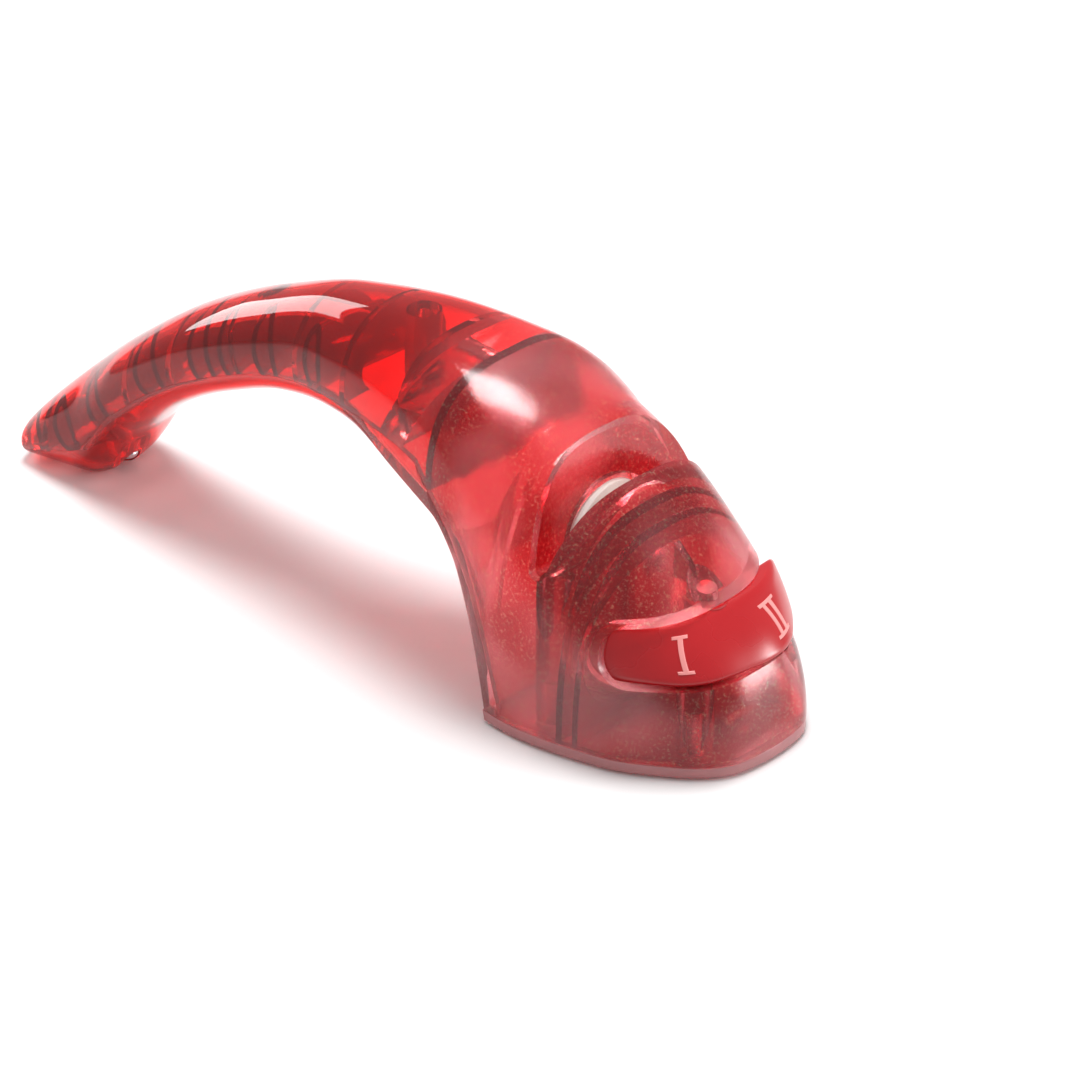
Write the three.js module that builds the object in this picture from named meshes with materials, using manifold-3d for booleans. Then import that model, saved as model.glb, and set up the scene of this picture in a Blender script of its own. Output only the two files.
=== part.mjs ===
// Two-stage kitchen knife sharpener, held by an arched handle.
//
// A translucent upper shell and lower shell make the handle and the domed head. The head stands on
// a base plate and has a slot across it for the blade. Under the slot a grooved ceramic roll spins
// on an axle, and the carrier that holds the axle swivels a little on the base plate. The rocker in
// the head's nose turns the carrier by a pin in a fork, to stage one or stage two.
//
// Millimetres, +X towards the nose, +Z up, Z = 0 on the table, Y = 0 on the plane of symmetry.

import * as THREE from 'three';
import { mergeVertices } from 'three/addons/utils/BufferGeometryUtils.js';
import Module from 'manifold-3d';

const wasm = await Module();
wasm.setup();

// ---------------------------------------------------------------- driving dimensions

const tailReach = 102.5;          // from the origin back to the tail tip
const noseReach = 102.5;          // from the origin forward to the nose
const handleWidth = 27.4;
const headWidth = 57.0;
const wall = 2.4;                 // both shells
const tailFlat = 0.6;             // cut off under the tail, so that it stands flat on the table
const gap = 0.3;                  // between pieces that touch
const runClearance = 0.3;         // round a piece that turns

const baseStandoff = 0.6;         // the pads hold the base plate this far off the table
const basePlateThickness = 2.0;

const slotSetback = 40.0;         // slot plane behind the nose
const slotMouthWidth = 10.0;
const slotFloorWidth = 3.6;
const slotFloorHeight = 35.0;
const slotWall = 1.8;

const rollRadius = 14.0;
const rollGrooveRadius = 7.0;     // radius where the two ceramic cones meet
const rollGrooveAngle = 20.0;     // degrees, each cone face from the roll's middle plane
const rollHalfWidth = 5.0;
const axleRadius = 1.5;
const axleHeight = 31.0;
const bushWall = 0.6;
const cheekThickness = 2.0;

const rockerSetback = 18.5;       // rocker pivot behind the nose
const rockerBottom = 18.0;        // lower edge of the rocker's window
const rockerTop = 29.0;           // upper edge of the rocker's window
const rockerWindowSetback = 25.0; // rear end of the window behind the nose
const rockerLowerCorner = 6.5;    // radii of the window's two rear corners
const rockerUpperCorner = 3.0;
const rockerWall = 3.0;
const rockerTilt = 9.0;           // degrees each way from the middle
const rockerPinRadius = 2.0;
const rockerHubWall = 2.2;
const drivePinRadius = 1.4;
const armEdge = 2.2;              // material of the carrier's arm round the drive pin
const armClearance = 0.4;         // between the arm and the post under the rocker

const screwShankRadius = 1.3;
const screwHeadRadius = 2.5;
const screwHeadHeight = 1.6;
const screwLength = 9.0;
const bossWall = 1.9;

const padRadius = 3.6;
const padThickness = 1.4;

// ---------------------------------------------------------------- places worked out from them

const slotX = noseReach - slotSetback;
const pivotX = noseReach - rockerSetback;
const rockerHubRadius = rockerPinRadius + runClearance + rockerHubWall;
const rockerForkRadius = rockerHubRadius + armClearance + armEdge + drivePinRadius;
const carrierArm = pivotX - slotX - rockerForkRadius;
const tilt = THREE.MathUtils.degToRad(rockerTilt);
const carrierTurn = Math.atan2(rockerForkRadius * Math.sin(tilt), carrierArm);
const basePlateTop = baseStandoff + basePlateThickness;
const shellFoot = basePlateTop + gap;

const clear = 80;                 // a cutting tool's reach past the part

// ---------------------------------------------------------------- smooth curves through a few points

function smoothCurve(points) {
  // Monotone cubic: it passes through every point and never swings past one.
  const count = points.length;
  const slope = [];
  for (let i = 0; i < count - 1; i++) {
    slope.push((points[i + 1][1] - points[i][1]) / (points[i + 1][0] - points[i][0]));
  }
  const tangent = [slope[0]];
  for (let i = 1; i < count - 1; i++) {
    const before = points[i][0] - points[i - 1][0];
    const after = points[i + 1][0] - points[i][0];
    const a = 2 * after + before;
    const b = after + 2 * before;
    const turns = slope[i - 1] * slope[i] <= 0;
    tangent.push(turns ? 0 : (a + b) / (a / slope[i - 1] + b / slope[i]));
  }
  tangent.push(slope[count - 2]);
  return (x) => {
    if (x <= points[0][0]) return points[0][1];
    if (x >= points[count - 1][0]) return points[count - 1][1];
    let i = 0;
    while (x > points[i + 1][0]) i++;
    const width = points[i + 1][0] - points[i][0];
    const t = (x - points[i][0]) / width;
    const h00 = (1 + 2 * t) * (1 - t) * (1 - t);
    const h10 = t * (1 - t) * (1 - t);
    const h01 = t * t * (3 - 2 * t);
    const h11 = t * t * (t - 1);
    return h00 * points[i][1] + h10 * width * tangent[i]
      + h01 * points[i + 1][1] + h11 * width * tangent[i + 1];
  };
}

function steepness(curve, x) {
  const step = 0.5;
  const slope = (curve(x + step) - curve(x - step)) / (2 * step);
  return Math.hypot(1, slope);
}

// ---------------------------------------------------------------- the outer form

const tail = (share) => -tailReach * share;
const nose = (setback) => noseReach - setback;
const handleHalf = handleWidth / 2;
const headHalf = headWidth / 2;

const topLine = smoothCurve([
  [tail(1), 5.5], [tail(0.95), 12], [tail(0.86), 21], [tail(0.68), 36.3], [tail(0.49), 49.3],
  [tail(0.29), 59], [tail(0.1), 65.5], [nose(92), 68], [nose(72), 66.3], [nose(54.5), 61.4],
  [nose(40.5), 53], [nose(27.5), 42], [nose(14.5), 29], [nose(5.5), 19.2], [nose(0), 4],
]);

const archFoot = nose(51);
const underLine = smoothCurve([
  [tail(1), -tailFlat], [tail(0.8), -tailFlat], [tail(0.68), 13.5], [tail(0.54), 25], [tail(0.37), 34],
  [tail(0.2), 39.8], [tail(0.05), 41.3], [nose(92), 41.3], [nose(68.5), 38.3], [nose(61.5), 32],
  [nose(56.5), 21], [nose(53), 9], [archFoot, 0],
]);

const halfWidth = smoothCurve([
  [tail(1), handleHalf * 0.28], [tail(0.95), handleHalf], [tail(0.86), handleHalf * 1.05],
  [tail(0.68), handleHalf * 1.04], [tail(0.44), handleHalf], [tail(0.2), handleHalf],
  [0, handleHalf * 1.19], [nose(82.5), headHalf * 0.72], [nose(62.5), headHalf * 0.89],
  [nose(42.5), headHalf], [nose(22.5), headHalf * 0.9], [nose(10.5), headHalf * 0.69],
  [nose(2.5), headHalf * 0.46], [nose(0), headHalf * 0.16],
]);

function headShare(x) {
  // 0 along the oval handle, 1 along the flat-footed head, and a soft change between them.
  return 1 / (1 + Math.exp(-(x - nose(88.5)) / 5.3));
}

function section(x, inset, sides) {
  // One ring of the form at x, drawn in by inset on every side. Past the arch foot an inset ring
  // runs on below the table, so that the head's hollow is open at the bottom.
  const head = headShare(x);
  const top = topLine(x) - inset * steepness(topLine, x);
  const openBelow = inset > 0 && x > archFoot + inset;
  const foot = openBelow ? -6 : underLine(x) + inset * steepness(underLine, x);
  const side = halfWidth(x) - inset * steepness(halfWidth, x);
  const widest = foot + (0.45 - 0.41 * head) * (top - foot);
  const upperPower = 2.1 + 0.75 * head;
  const lowerPower = 2.3 + 2.0 * head;
  const ring = [];
  for (let k = 0; k < sides; k++) {
    const angle = (2 * Math.PI * k) / sides;
    const across = Math.cos(angle);
    const up = Math.sin(angle);
    const power = 2 / (up >= 0 ? upperPower : lowerPower);
    const reach = up >= 0 ? top - widest : widest - foot;
    const y = side * Math.sign(across) * Math.abs(across) ** power;
    const z = widest + reach * Math.sign(up) * Math.abs(up) ** power;
    ring.push([x, y, z]);
  }
  return ring;
}

function spread(from, to, count) {
  return Array.from({ length: count }, (_, i) => from + ((to - from) * i) / count);
}

function formSolid(inset, sides) {
  // The whole form, lofted through its rings from tail to nose.
  const first = tail(1) + inset * 2.6;
  const last = nose(0) - inset * 1.6;
  const stations = [
    ...spread(first, tail(0.94), 3), ...spread(tail(0.94), tail(0.62), 6),
    ...spread(tail(0.62), nose(82), 8), ...spread(nose(82), nose(66), 3),
    ...spread(nose(66), nose(47), 8), ...spread(nose(47), nose(14), 6),
    ...spread(nose(14), last, 5), last,
  ];
  const rings = stations.map((x) => section(x, inset, sides));
  const points = rings.flat(2);
  const faces = [];
  for (let i = 0; i < rings.length - 1; i++) {
    for (let k = 0; k < sides; k++) {
      const a = i * sides + k;
      const b = i * sides + ((k + 1) % sides);
      faces.push(a, a + sides, b + sides, a, b + sides, b);
    }
  }
  const end = (rings.length - 1) * sides;
  for (let k = 1; k < sides - 1; k++) {
    faces.push(0, k, k + 1);
    faces.push(end, end + k + 1, end + k);
  }
  const geometry = new THREE.BufferGeometry();
  geometry.setAttribute('position', new THREE.Float32BufferAttribute(points, 3));
  geometry.setIndex(faces);
  return solidFrom(geometry);
}

// ---------------------------------------------------------------- solids from three.js geometry

function solidFrom(source) {
  const bare = source.clone();
  bare.deleteAttribute('normal');
  bare.deleteAttribute('uv');
  const geometry = mergeVertices(bare, 1e-4);
  const mesh = new wasm.Mesh({
    numProp: 3,
    vertProperties: new Float32Array(geometry.attributes.position.array),
    triVerts: new Uint32Array(geometry.index.array),
  });
  const solid = new wasm.Manifold(mesh);
  return solid.volume() < 0 ? new wasm.Manifold(flipped(mesh)) : solid;
}

function flipped(mesh) {
  const triVerts = new Uint32Array(mesh.triVerts);
  for (let i = 0; i < triVerts.length; i += 3) {
    [triVerts[i + 1], triVerts[i + 2]] = [triVerts[i + 2], triVerts[i + 1]];
  }
  return new wasm.Mesh({ numProp: 3, vertProperties: mesh.vertProperties, triVerts });
}

function geometryFrom(solid) {
  const mesh = solid.getMesh();
  const geometry = new THREE.BufferGeometry();
  geometry.setAttribute('position', new THREE.Float32BufferAttribute(mesh.vertProperties, 3));
  geometry.setIndex(new THREE.Uint32BufferAttribute(mesh.triVerts, 1));
  geometry.computeVertexNormals();
  return geometry;
}

function boxSolid(low, high) {
  const size = high.map((value, i) => value - low[i]);
  const middle = high.map((value, i) => (value + low[i]) / 2);
  const geometry = new THREE.BoxGeometry(...size);
  geometry.translate(...middle);
  return solidFrom(geometry);
}

function turnedSolid(profile, segments) {
  // A profile of [radius, height] pairs, turned about Z.
  const points = profile.map(([radius, height]) => new THREE.Vector2(radius, height));
  const geometry = new THREE.LatheGeometry(points, segments);
  geometry.rotateX(Math.PI / 2);
  return solidFrom(geometry);
}

function rodSolid(radius, bottom, top, segments = 16) {
  return turnedSolid([[0, bottom], [radius, bottom], [radius, top], [0, top]], segments);
}

function prismAlongY(outline, halfDepth) {
  // An outline of [x, z] pairs, carried from -halfDepth to halfDepth in Y.
  const shape = new THREE.Shape(outline.map(([x, z]) => new THREE.Vector2(x, z)));
  return extrudedAlongY(shape, halfDepth);
}

function extrudedAlongY(shape, halfDepth) {
  const geometry = new THREE.ExtrudeGeometry(shape, {
    depth: 2 * halfDepth, bevelEnabled: false, curveSegments: 5,
  });
  geometry.rotateX(Math.PI / 2);
  geometry.translate(0, halfDepth, 0);
  return solidFrom(geometry);
}

function turnedAbout(solid, x, radians) {
  const degrees = THREE.MathUtils.radToDeg(radians);
  return solid.translate([-x, 0, 0]).rotate([0, 0, degrees]).translate([x, 0, 0]);
}

// ---------------------------------------------------------------- materials

function plastic(colour, roughness) {
  return new THREE.MeshStandardMaterial({ color: colour, roughness, metalness: 0 });
}

function metal(colour, roughness) {
  return new THREE.MeshStandardMaterial({ color: colour, roughness, metalness: 1 });
}

const clearRed = plastic(0xd8202e, 0.12);
const satinRed = plastic(0xb3141c, 0.4);
const paleRed = plastic(0xe2808a, 0.35);
const whiteNylon = plastic(0xe6e2d8, 0.5);
const ceramic = plastic(0xeee9dc, 0.6);
const rubber = plastic(0x1c1c1e, 0.8);
const steel = metal(0xc4c8cc, 0.3);

const sharpener = new THREE.Group();

function addPiece(name, solid, material, place = {}) {
  const piece = new THREE.Mesh(geometryFrom(solid), material);
  piece.name = name;
  if (place.at) piece.position.set(...place.at);
  (place.group ?? sharpener).add(piece);
  return piece;
}

// ---------------------------------------------------------------- screws and their bosses

const boreRadius = screwShankRadius + gap;
const bossRadius = boreRadius + bossWall;
const seatRadius = screwHeadRadius + gap;

function screwSolid() {
  // Pan-head tapping screw, head down, its seat at Z = 0 and its tip up.
  const tip = 1.6;
  const driveDepth = 0.9;
  const driveWidth = 0.8;
  const driveLength = 2.9;
  const round = turnedSolid([
    [0, -screwHeadHeight], [screwHeadRadius * 0.8, -screwHeadHeight],
    [screwHeadRadius, -screwHeadHeight * 0.6], [screwHeadRadius, 0], [screwShankRadius, 0],
    [screwShankRadius, screwLength - tip], [0.3, screwLength], [0, screwLength],
  ], 10);
  const bottom = -screwHeadHeight - 1;
  const top = -screwHeadHeight + driveDepth;
  const slot = boxSolid(
    [-driveLength / 2, -driveWidth / 2, bottom], [driveLength / 2, driveWidth / 2, top],
  );
  return round.subtract(slot).subtract(slot.rotate([0, 0, 90]));
}

const handleScrews = [tail(0.77), tail(0.3), nose(92)].map((x) => ({ x, y: 0 }));
const seatDepth = 3.6;            // screw seat above the handle's underside

const noseScrew = { x: nose(10.5), y: 12.4 };
const slotScrew = { x: nose(38), y: headHalf - 7.6 };
const baseScrews = [noseScrew, slotScrew].flatMap(({ x, y }) => [{ x, y: -y }, { x, y }]);
const baseSeat = baseStandoff + screwHeadHeight + gap;
const basePadTop = baseSeat + 1.5;

// ---------------------------------------------------------------- shells

const form = formSolid(0, 24);
const hollow = formSolid(wall, 16);
const ribRoot = formSolid(wall / 2, 16);  // ribs and bosses run half way into the wall
const shell = form.subtract(hollow);

function seamAt(x) {
  return underLine(x) + 0.3 * (topLine(x) - underLine(x));
}

function seamOutline(offset) {
  // Side view of what lies below the seam: low along the handle, and down the head's rear corner.
  const low = -clear;
  const along = [1.1, 0.96, 0.86, 0.77, 0.68, 0.58, 0.49, 0.39, 0.29, 0.2, 0.1, 0].map(tail);
  const toHead = [nose(92), nose(82), nose(74)];
  const handle = [...along, ...toHead].map((x) => [x, seamAt(x) + offset]);
  const corner = [[62.5, 37.5], [56, 28], [51.5, 17], [47.5, 5.5], [46.5, low]];
  const headRear = corner.map(([setback, z]) => [nose(setback) + offset, z + offset]);
  return [[tail(1.1), low], ...handle, ...headRear].reverse();
}

const underSeam = prismAlongY(seamOutline(-gap / 2), clear);
const underSeamWide = prismAlongY(seamOutline(gap / 2), clear);
const underHead = boxSolid([archFoot - 4, -clear, -clear], [clear * 2, clear, shellFoot]);
const underTail = boxSolid([tail(1.1), -clear, -clear], [tail(0.6), clear, 0]);

function slotOutline(grow) {
  const top = topLine(slotX) + 12;
  const floor = slotFloorHeight - grow;
  const rise = topLine(slotX) - slotFloorHeight;
  const flare = (slotMouthWidth - slotFloorWidth) / 2 / rise;
  const atFloor = slotFloorWidth / 2 + grow;
  const atTop = atFloor + flare * (top - floor);
  return [
    [slotX - atTop, top], [slotX - atFloor, floor + 1.2], [slotX - atFloor + 1.2, floor],
    [slotX + atFloor - 1.2, floor], [slotX + atFloor, floor + 1.2], [slotX + atTop, top],
  ];
}

function rollWell() {
  // Room for the roll and its cheeks where they rise through the slot's floor, at every swivel.
  const swing = rollRadius * Math.sin(carrierTurn);
  const halfLength = rollHalfWidth + cheekThickness + swing + 1;
  const well = rodSolid(rollRadius + 1.2, -halfLength, halfLength, 32);
  return well.rotate([0, 90, 0]).translate([slotX, 0, axleHeight]);
}

function windowShape(shrink) {
  // The rocker's window from the side: open at the nose, its rear corners rounded.
  const rear = nose(rockerWindowSetback) + shrink;
  const low = rockerBottom + shrink;
  const high = rockerTop - shrink;
  const shape = new THREE.Shape();
  shape.moveTo(nose(-clear), low);
  shape.lineTo(nose(-clear), high);
  const upper = rockerUpperCorner;
  const lower = rockerLowerCorner;
  shape.absarc(rear + upper, high - upper, upper, Math.PI / 2, Math.PI, false);
  shape.absarc(rear + lower, low + lower, lower, Math.PI, 1.5 * Math.PI, false);
  shape.closePath();
  return shape;
}

function rockerSweep() {
  // Everything that the rocker's face passes through, a clearance larger all round.
  const face = formSolid(-runClearance, 24).intersect(extrudedAlongY(windowShape(0), clear));
  const steps = [-1, -0.75, -0.5, -0.25, 0, 0.25, 0.5, 0.75, 1];
  const turns = steps.map((step) => turnedAbout(face, pivotX, step * tilt));
  return turns.reduce((all, turn) => all.add(turn));
}

function handleRibs() {
  // Cross ribs with an oval opening, which stiffen the handle.
  const thickness = 1.6;
  const places = [tail(0.88), tail(0.63), tail(0.5), tail(0.13), nose(100), nose(82)];
  const ribs = places.map((x) => {
    const middle = (topLine(x) + underLine(x)) / 2;
    const half = (topLine(x) - underLine(x)) / 2;
    const slab = boxSolid(
      [x - thickness / 2, -clear, middle - clear], [x + thickness / 2, clear, middle + clear],
    );
    const oval = rodSolid(1, -clear, clear, 14).rotate([0, 90, 0])
      .scale([1, halfWidth(x) * 0.58, half * 0.5]).translate([0, 0, middle - half * 0.1]);
    return slab.subtract(oval);
  });
  return ribs.reduce((all, rib) => all.add(rib));
}

function upperShell() {
  const liner = prismAlongY(slotOutline(slotWall), clear).subtract(rollWell());
  const bulkhead = boxSolid([nose(71), -clear, 0], [nose(69), clear, clear * 2]);
  const visorRib = boxSolid(
    [pivotX - 8, -0.8, rockerTop + 1.5], [pivotX - 2, 0.8, clear],
  );
  let inner = handleRibs().add(bulkhead).add(visorRib).add(liner);
  for (const { x, y } of handleScrews) {
    inner = inner.add(rodSolid(bossRadius, seamAt(x), clear * 2).translate([x, y, 0]));
  }
  for (const { x, y } of baseScrews) {
    inner = inner.add(rodSolid(bossRadius, basePadTop + gap, slotFloorHeight).translate([x, y, 0]));
  }
  const pinBoss = rodSolid(rockerPinRadius + gap + 1.9, rockerTop + gap, clear);
  inner = inner.add(pinBoss.translate([pivotX, 0, 0]));
  let solid = shell.add(inner.intersect(ribRoot));
  solid = solid.subtract(prismAlongY(slotOutline(0), clear));
  solid = solid.subtract(rockerSweep());
  solid = solid.subtract(underSeamWide).subtract(underHead);
  for (const { x, y } of handleScrews) {
    const bottom = underLine(x) + seatDepth;
    solid = solid.subtract(rodSolid(boreRadius, 0, bottom + screwLength + 1, 10).translate([x, y, 0]));
  }
  for (const { x, y } of baseScrews) {
    solid = solid.subtract(rodSolid(boreRadius, 0, baseSeat + screwLength + 1, 10).translate([x, y, 0]));
  }
  const pinBore = rodSolid(rockerPinRadius + gap, 0, rockerPinTop + gap);
  return solid.subtract(pinBore.translate([pivotX, 0, 0]));
}

function lowerShell() {
  let posts = null;
  for (const { x, y } of handleScrews) {
    const post = rodSolid(seatRadius + 1.4, 0, seamAt(x) - gap / 2).translate([x, y, 0]);
    posts = posts ? posts.add(post) : post;
  }
  let solid = shell.add(posts.intersect(ribRoot)).intersect(underSeam);
  solid = solid.subtract(underHead).subtract(underTail);
  for (const { x, y } of handleScrews) {
    const seat = underLine(x) + seatDepth;
    solid = solid.subtract(rodSolid(seatRadius, -clear, seat, 14).translate([x, y, 0]));
    solid = solid.subtract(rodSolid(boreRadius, -clear, clear, 10).translate([x, y, 0]));
  }
  return solid;
}

// ---------------------------------------------------------------- rocker and its pin

const rockerPinTop = rockerTop + 1.6;
const carrierBottom = basePlateTop + 2.8;
const carrierTop = carrierBottom + 2.5;
const forkBottom = carrierTop + 0.7;
const forkTop = forkBottom + 3.0;
const detentRadius = 8.0;         // from the rocker pivot forward to the detent ball
const flangeBottom = carrierBottom + 0.9;
const flangeTop = flangeBottom + 2.0;

const forkEdge = 1.1;              // material of the rocker's fork behind the drive pin
const forkCheek = 2.4;             // and beside it
const detentArmHalf = 3.6;
const detentArmEnd = 2.2;          // material of the detent arm past the ball
const dimpleRadius = 0.9;
const dimpleDepth = 0.6;

function rockerSolid() {
  const band = form.intersect(extrudedAlongY(windowShape(gap), clear));
  const skin = band.subtract(formSolid(rockerWall, 16));
  const webThickness = 3.0;
  const webMiddle = (rockerBottom + rockerTop) / 2;
  const webPlate = boxSolid(
    [pivotX - 2, -clear, webMiddle - webThickness / 2],
    [nose(0), clear, webMiddle + webThickness / 2],
  ).intersect(formSolid(rockerWall / 2, 16));
  const hub = rodSolid(rockerHubRadius, flangeBottom, rockerTop - gap, 24)
    .translate([pivotX, 0, 0]);
  const forkReach = rockerForkRadius + drivePinRadius + forkEdge;
  const forkHalf = drivePinRadius + runClearance + forkCheek;
  const fork = boxSolid([pivotX - forkReach, -forkHalf, forkBottom], [pivotX, forkHalf, forkTop]);
  const forkSlot = boxSolid(
    [pivotX - forkReach - 1, -drivePinRadius - runClearance, forkBottom - 1],
    [pivotX - rockerForkRadius + 2, drivePinRadius + runClearance, forkTop + 1],
  );
  const flange = boxSolid(
    [pivotX, -detentArmHalf, flangeBottom],
    [pivotX + detentRadius + detentArmEnd, detentArmHalf, flangeTop],
  );
  let solid = skin.add(webPlate).add(hub).add(fork).add(flange).subtract(forkSlot);
  for (const side of [-1, 1]) {
    const dimple = rodSolid(dimpleRadius, flangeBottom - 1, flangeBottom + dimpleDepth, 12)
      .translate([pivotX + detentRadius, 0, 0]);
    solid = solid.subtract(turnedAbout(dimple, pivotX, side * tilt));
  }
  const bore = rodSolid(rockerPinRadius + runClearance, 0, clear, 20).translate([pivotX, 0, 0]);
  return solid.subtract(bore).translate([-pivotX, 0, 0]);
}

// ---------------------------------------------------------------- base plate

const pinFloor = baseStandoff + 1.0;
const ballRadius = 1.0;
const carrierPostRadius = 7.5;
const detentPostRadius = 3.2;
const detentPostDrop = 1.9;        // the ball stands out of its post below the detent arm
const pads = [
  { x: nose(6.5), y: 0 },
  { x: nose(48), y: -(headHalf - 9.5) },
  { x: nose(48), y: headHalf - 9.5 },
];

function basePlate() {
  // Its edge carries on the shells' outer face, so it is cut from the same form, let down a little.
  const slice = boxSolid([archFoot - 6, -clear, baseStandoff], [clear * 2, clear, basePlateTop]);
  let solid = form.translate([0, 0, baseStandoff - shellFoot]).intersect(slice);
  const insideShell = formSolid(wall + gap, 16);
  for (const { x, y } of baseScrews) {
    const seat = rodSolid(bossRadius, baseStandoff + 1, basePadTop).translate([x, y, 0]);
    solid = solid.add(seat.intersect(insideShell));
  }
  const postFoot = baseStandoff + 1;
  const carrierPost = rodSolid(carrierPostRadius, postFoot, carrierBottom - gap, 24);
  const rockerPost = rodSolid(rockerHubRadius, postFoot, flangeBottom - gap, 24);
  const detentPost = rodSolid(detentPostRadius, postFoot, flangeBottom - detentPostDrop, 20);
  solid = solid.add(carrierPost.translate([slotX, 0, 0]));
  solid = solid.add(rockerPost.translate([pivotX, 0, 0]));
  solid = solid.add(detentPost.translate([pivotX + detentRadius, 0, 0]));
  for (const { x, y } of baseScrews) {
    solid = solid.subtract(rodSolid(seatRadius, -1, baseSeat, 14).translate([x, y, 0]));
    solid = solid.subtract(rodSolid(boreRadius, -1, clear, 10).translate([x, y, 0]));
  }
  for (const { x, y } of pads) {
    const recess = rodSolid(padRadius + gap, -1, padThickness + gap, 18);
    solid = solid.subtract(recess.translate([x, y, 0]));
  }
  const screwBore = rodSolid(pivotScrewRadius + gap, pinFloor, clear, 18);
  const pinBore = rodSolid(rockerPinRadius + gap, pinFloor, clear, 20);
  const ballBore = rodSolid(ballRadius + gap, pinFloor, clear, 18);
  solid = solid.subtract(screwBore.translate([slotX, 0, 0]));
  solid = solid.subtract(pinBore.translate([pivotX, 0, 0]));
  return solid.subtract(ballBore.translate([pivotX + detentRadius, 0, 0]));
}

// ---------------------------------------------------------------- roll carrier, axle and roll

const pivotScrewRadius = 1.5;
const pivotShoulderRadius = 2.5;
const pivotHeadRadius = 4.0;
const cheekInner = rollHalfWidth + 0.6;
const cheekHalf = 6.5;
const cheekCrown = 4.0;            // top of each cheek above the axle
const armHalf = 3.4;
const discRim = 1.5;               // the carrier's disc past the cheeks
const cheekOuter = cheekInner + cheekThickness;
const clipThickness = 0.8;
const clipFace = cheekOuter + runClearance;
const axleHalf = clipFace + clipThickness + 0.8;

function carrierSolid() {
  // Turned about its own pivot, with the roll's axle along X.
  const disc = rodSolid(cheekOuter + discRim, carrierBottom, carrierTop, 32);
  const arm = boxSolid(
    [0, -armHalf, carrierBottom], [carrierArm + drivePinRadius + armEdge, armHalf, carrierTop],
  );
  let solid = disc.add(arm);
  for (const side of [-1, 1]) {
    const from = side > 0 ? cheekInner : -cheekOuter;
    const upright = boxSolid(
      [from, -cheekHalf, carrierBottom + 0.5], [from + cheekThickness, cheekHalf, axleHeight],
    );
    const crown = rodSolid(cheekHalf, from, from + cheekThickness, 24)
      .rotate([0, 90, 0]).translate([0, 0, axleHeight]).intersect(
        boxSolid([-clear, -clear, 0], [clear, clear, axleHeight + cheekCrown]),
      );
    solid = solid.add(upright).add(crown);
  }
  const axleBore = rodSolid(axleRadius + gap, -clear, clear, 18)
    .rotate([0, 90, 0]).translate([0, 0, axleHeight]);
  const pivotBore = rodSolid(pivotShoulderRadius + runClearance, 0, carrierTop + 4, 20);
  const pinBore = rodSolid(drivePinRadius + gap, 0, carrierTop + 1, 16)
    .translate([carrierArm, 0, 0]);
  return solid.subtract(axleBore).subtract(pivotBore).subtract(pinBore);
}

function pivotScrew() {
  return turnedSolid([
    [0, pinFloor + gap], [pivotScrewRadius, pinFloor + gap],
    [pivotScrewRadius, carrierBottom], [pivotShoulderRadius, carrierBottom],
    [pivotShoulderRadius, carrierTop + runClearance],
    [pivotHeadRadius, carrierTop + runClearance],
    [pivotHeadRadius, carrierTop + 1.5], [pivotHeadRadius - 0.7, carrierTop + 2.2],
    [0, carrierTop + 2.2],
  ], 20);
}

function rollDisc(side) {
  // One ceramic cone of the pair; side is +1 for the front one.
  const bore = axleRadius + runClearance + bushWall + gap;
  const flank = (rollRadius - rollGrooveRadius) * Math.tan(THREE.MathUtils.degToRad(rollGrooveAngle));
  const profile = [
    [bore, gap / 2], [rollGrooveRadius, gap / 2], [rollRadius, gap / 2 + flank],
    [rollRadius, rollHalfWidth - 1], [rollRadius - 1, rollHalfWidth], [bore, rollHalfWidth],
    [bore, gap / 2],
  ];
  return turnedSolid(profile, 32).rotate([0, side > 0 ? 90 : -90, 0]).translate([0, 0, axleHeight]);
}

function rollBush() {
  const inner = axleRadius + runClearance;
  const outer = inner + bushWall;
  const half = rollHalfWidth + 0.3;
  const profile = [[inner, -half], [outer, -half], [outer, half], [inner, half], [inner, -half]];
  return turnedSolid(profile, 24).rotate([0, 90, 0]).translate([0, 0, axleHeight]);
}

function axleSolid() {
  // Steel axle with a chamfer at each end and a groove for each clip.
  const grooveRadius = axleRadius - 0.4;
  const half = [
    [0, axleHalf], [axleRadius - 0.3, axleHalf], [axleRadius, axleHalf - 0.3],
    [axleRadius, clipFace + clipThickness + gap / 2], [grooveRadius, clipFace + clipThickness + gap / 2],
    [grooveRadius, clipFace - gap / 2], [axleRadius, clipFace - gap / 2],
  ];
  const mirrored = half.map(([radius, height]) => [radius, -height]).reverse();
  return turnedSolid([...half, ...mirrored].reverse(), 18)
    .rotate([0, 90, 0]).translate([0, 0, axleHeight]);
}

function clipSolid(side) {
  // Retaining clip, open at the bottom so that it can be pushed on.
  const inner = axleRadius - 0.4 + gap;
  const outer = axleRadius + 1.7;
  const from = side > 0 ? clipFace : -clipFace - clipThickness;
  const profile = [
    [inner, from], [outer, from], [outer, from + clipThickness], [inner, from + clipThickness],
    [inner, from],
  ];
  const ring = turnedSolid(profile, 24).rotate([0, 90, 0]);
  const mouth = boxSolid([-clear, -inner * 0.9, -clear], [clear, inner * 0.9, 0]);
  return ring.subtract(mouth).translate([0, 0, axleHeight]);
}

// ---------------------------------------------------------------- detent

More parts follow.
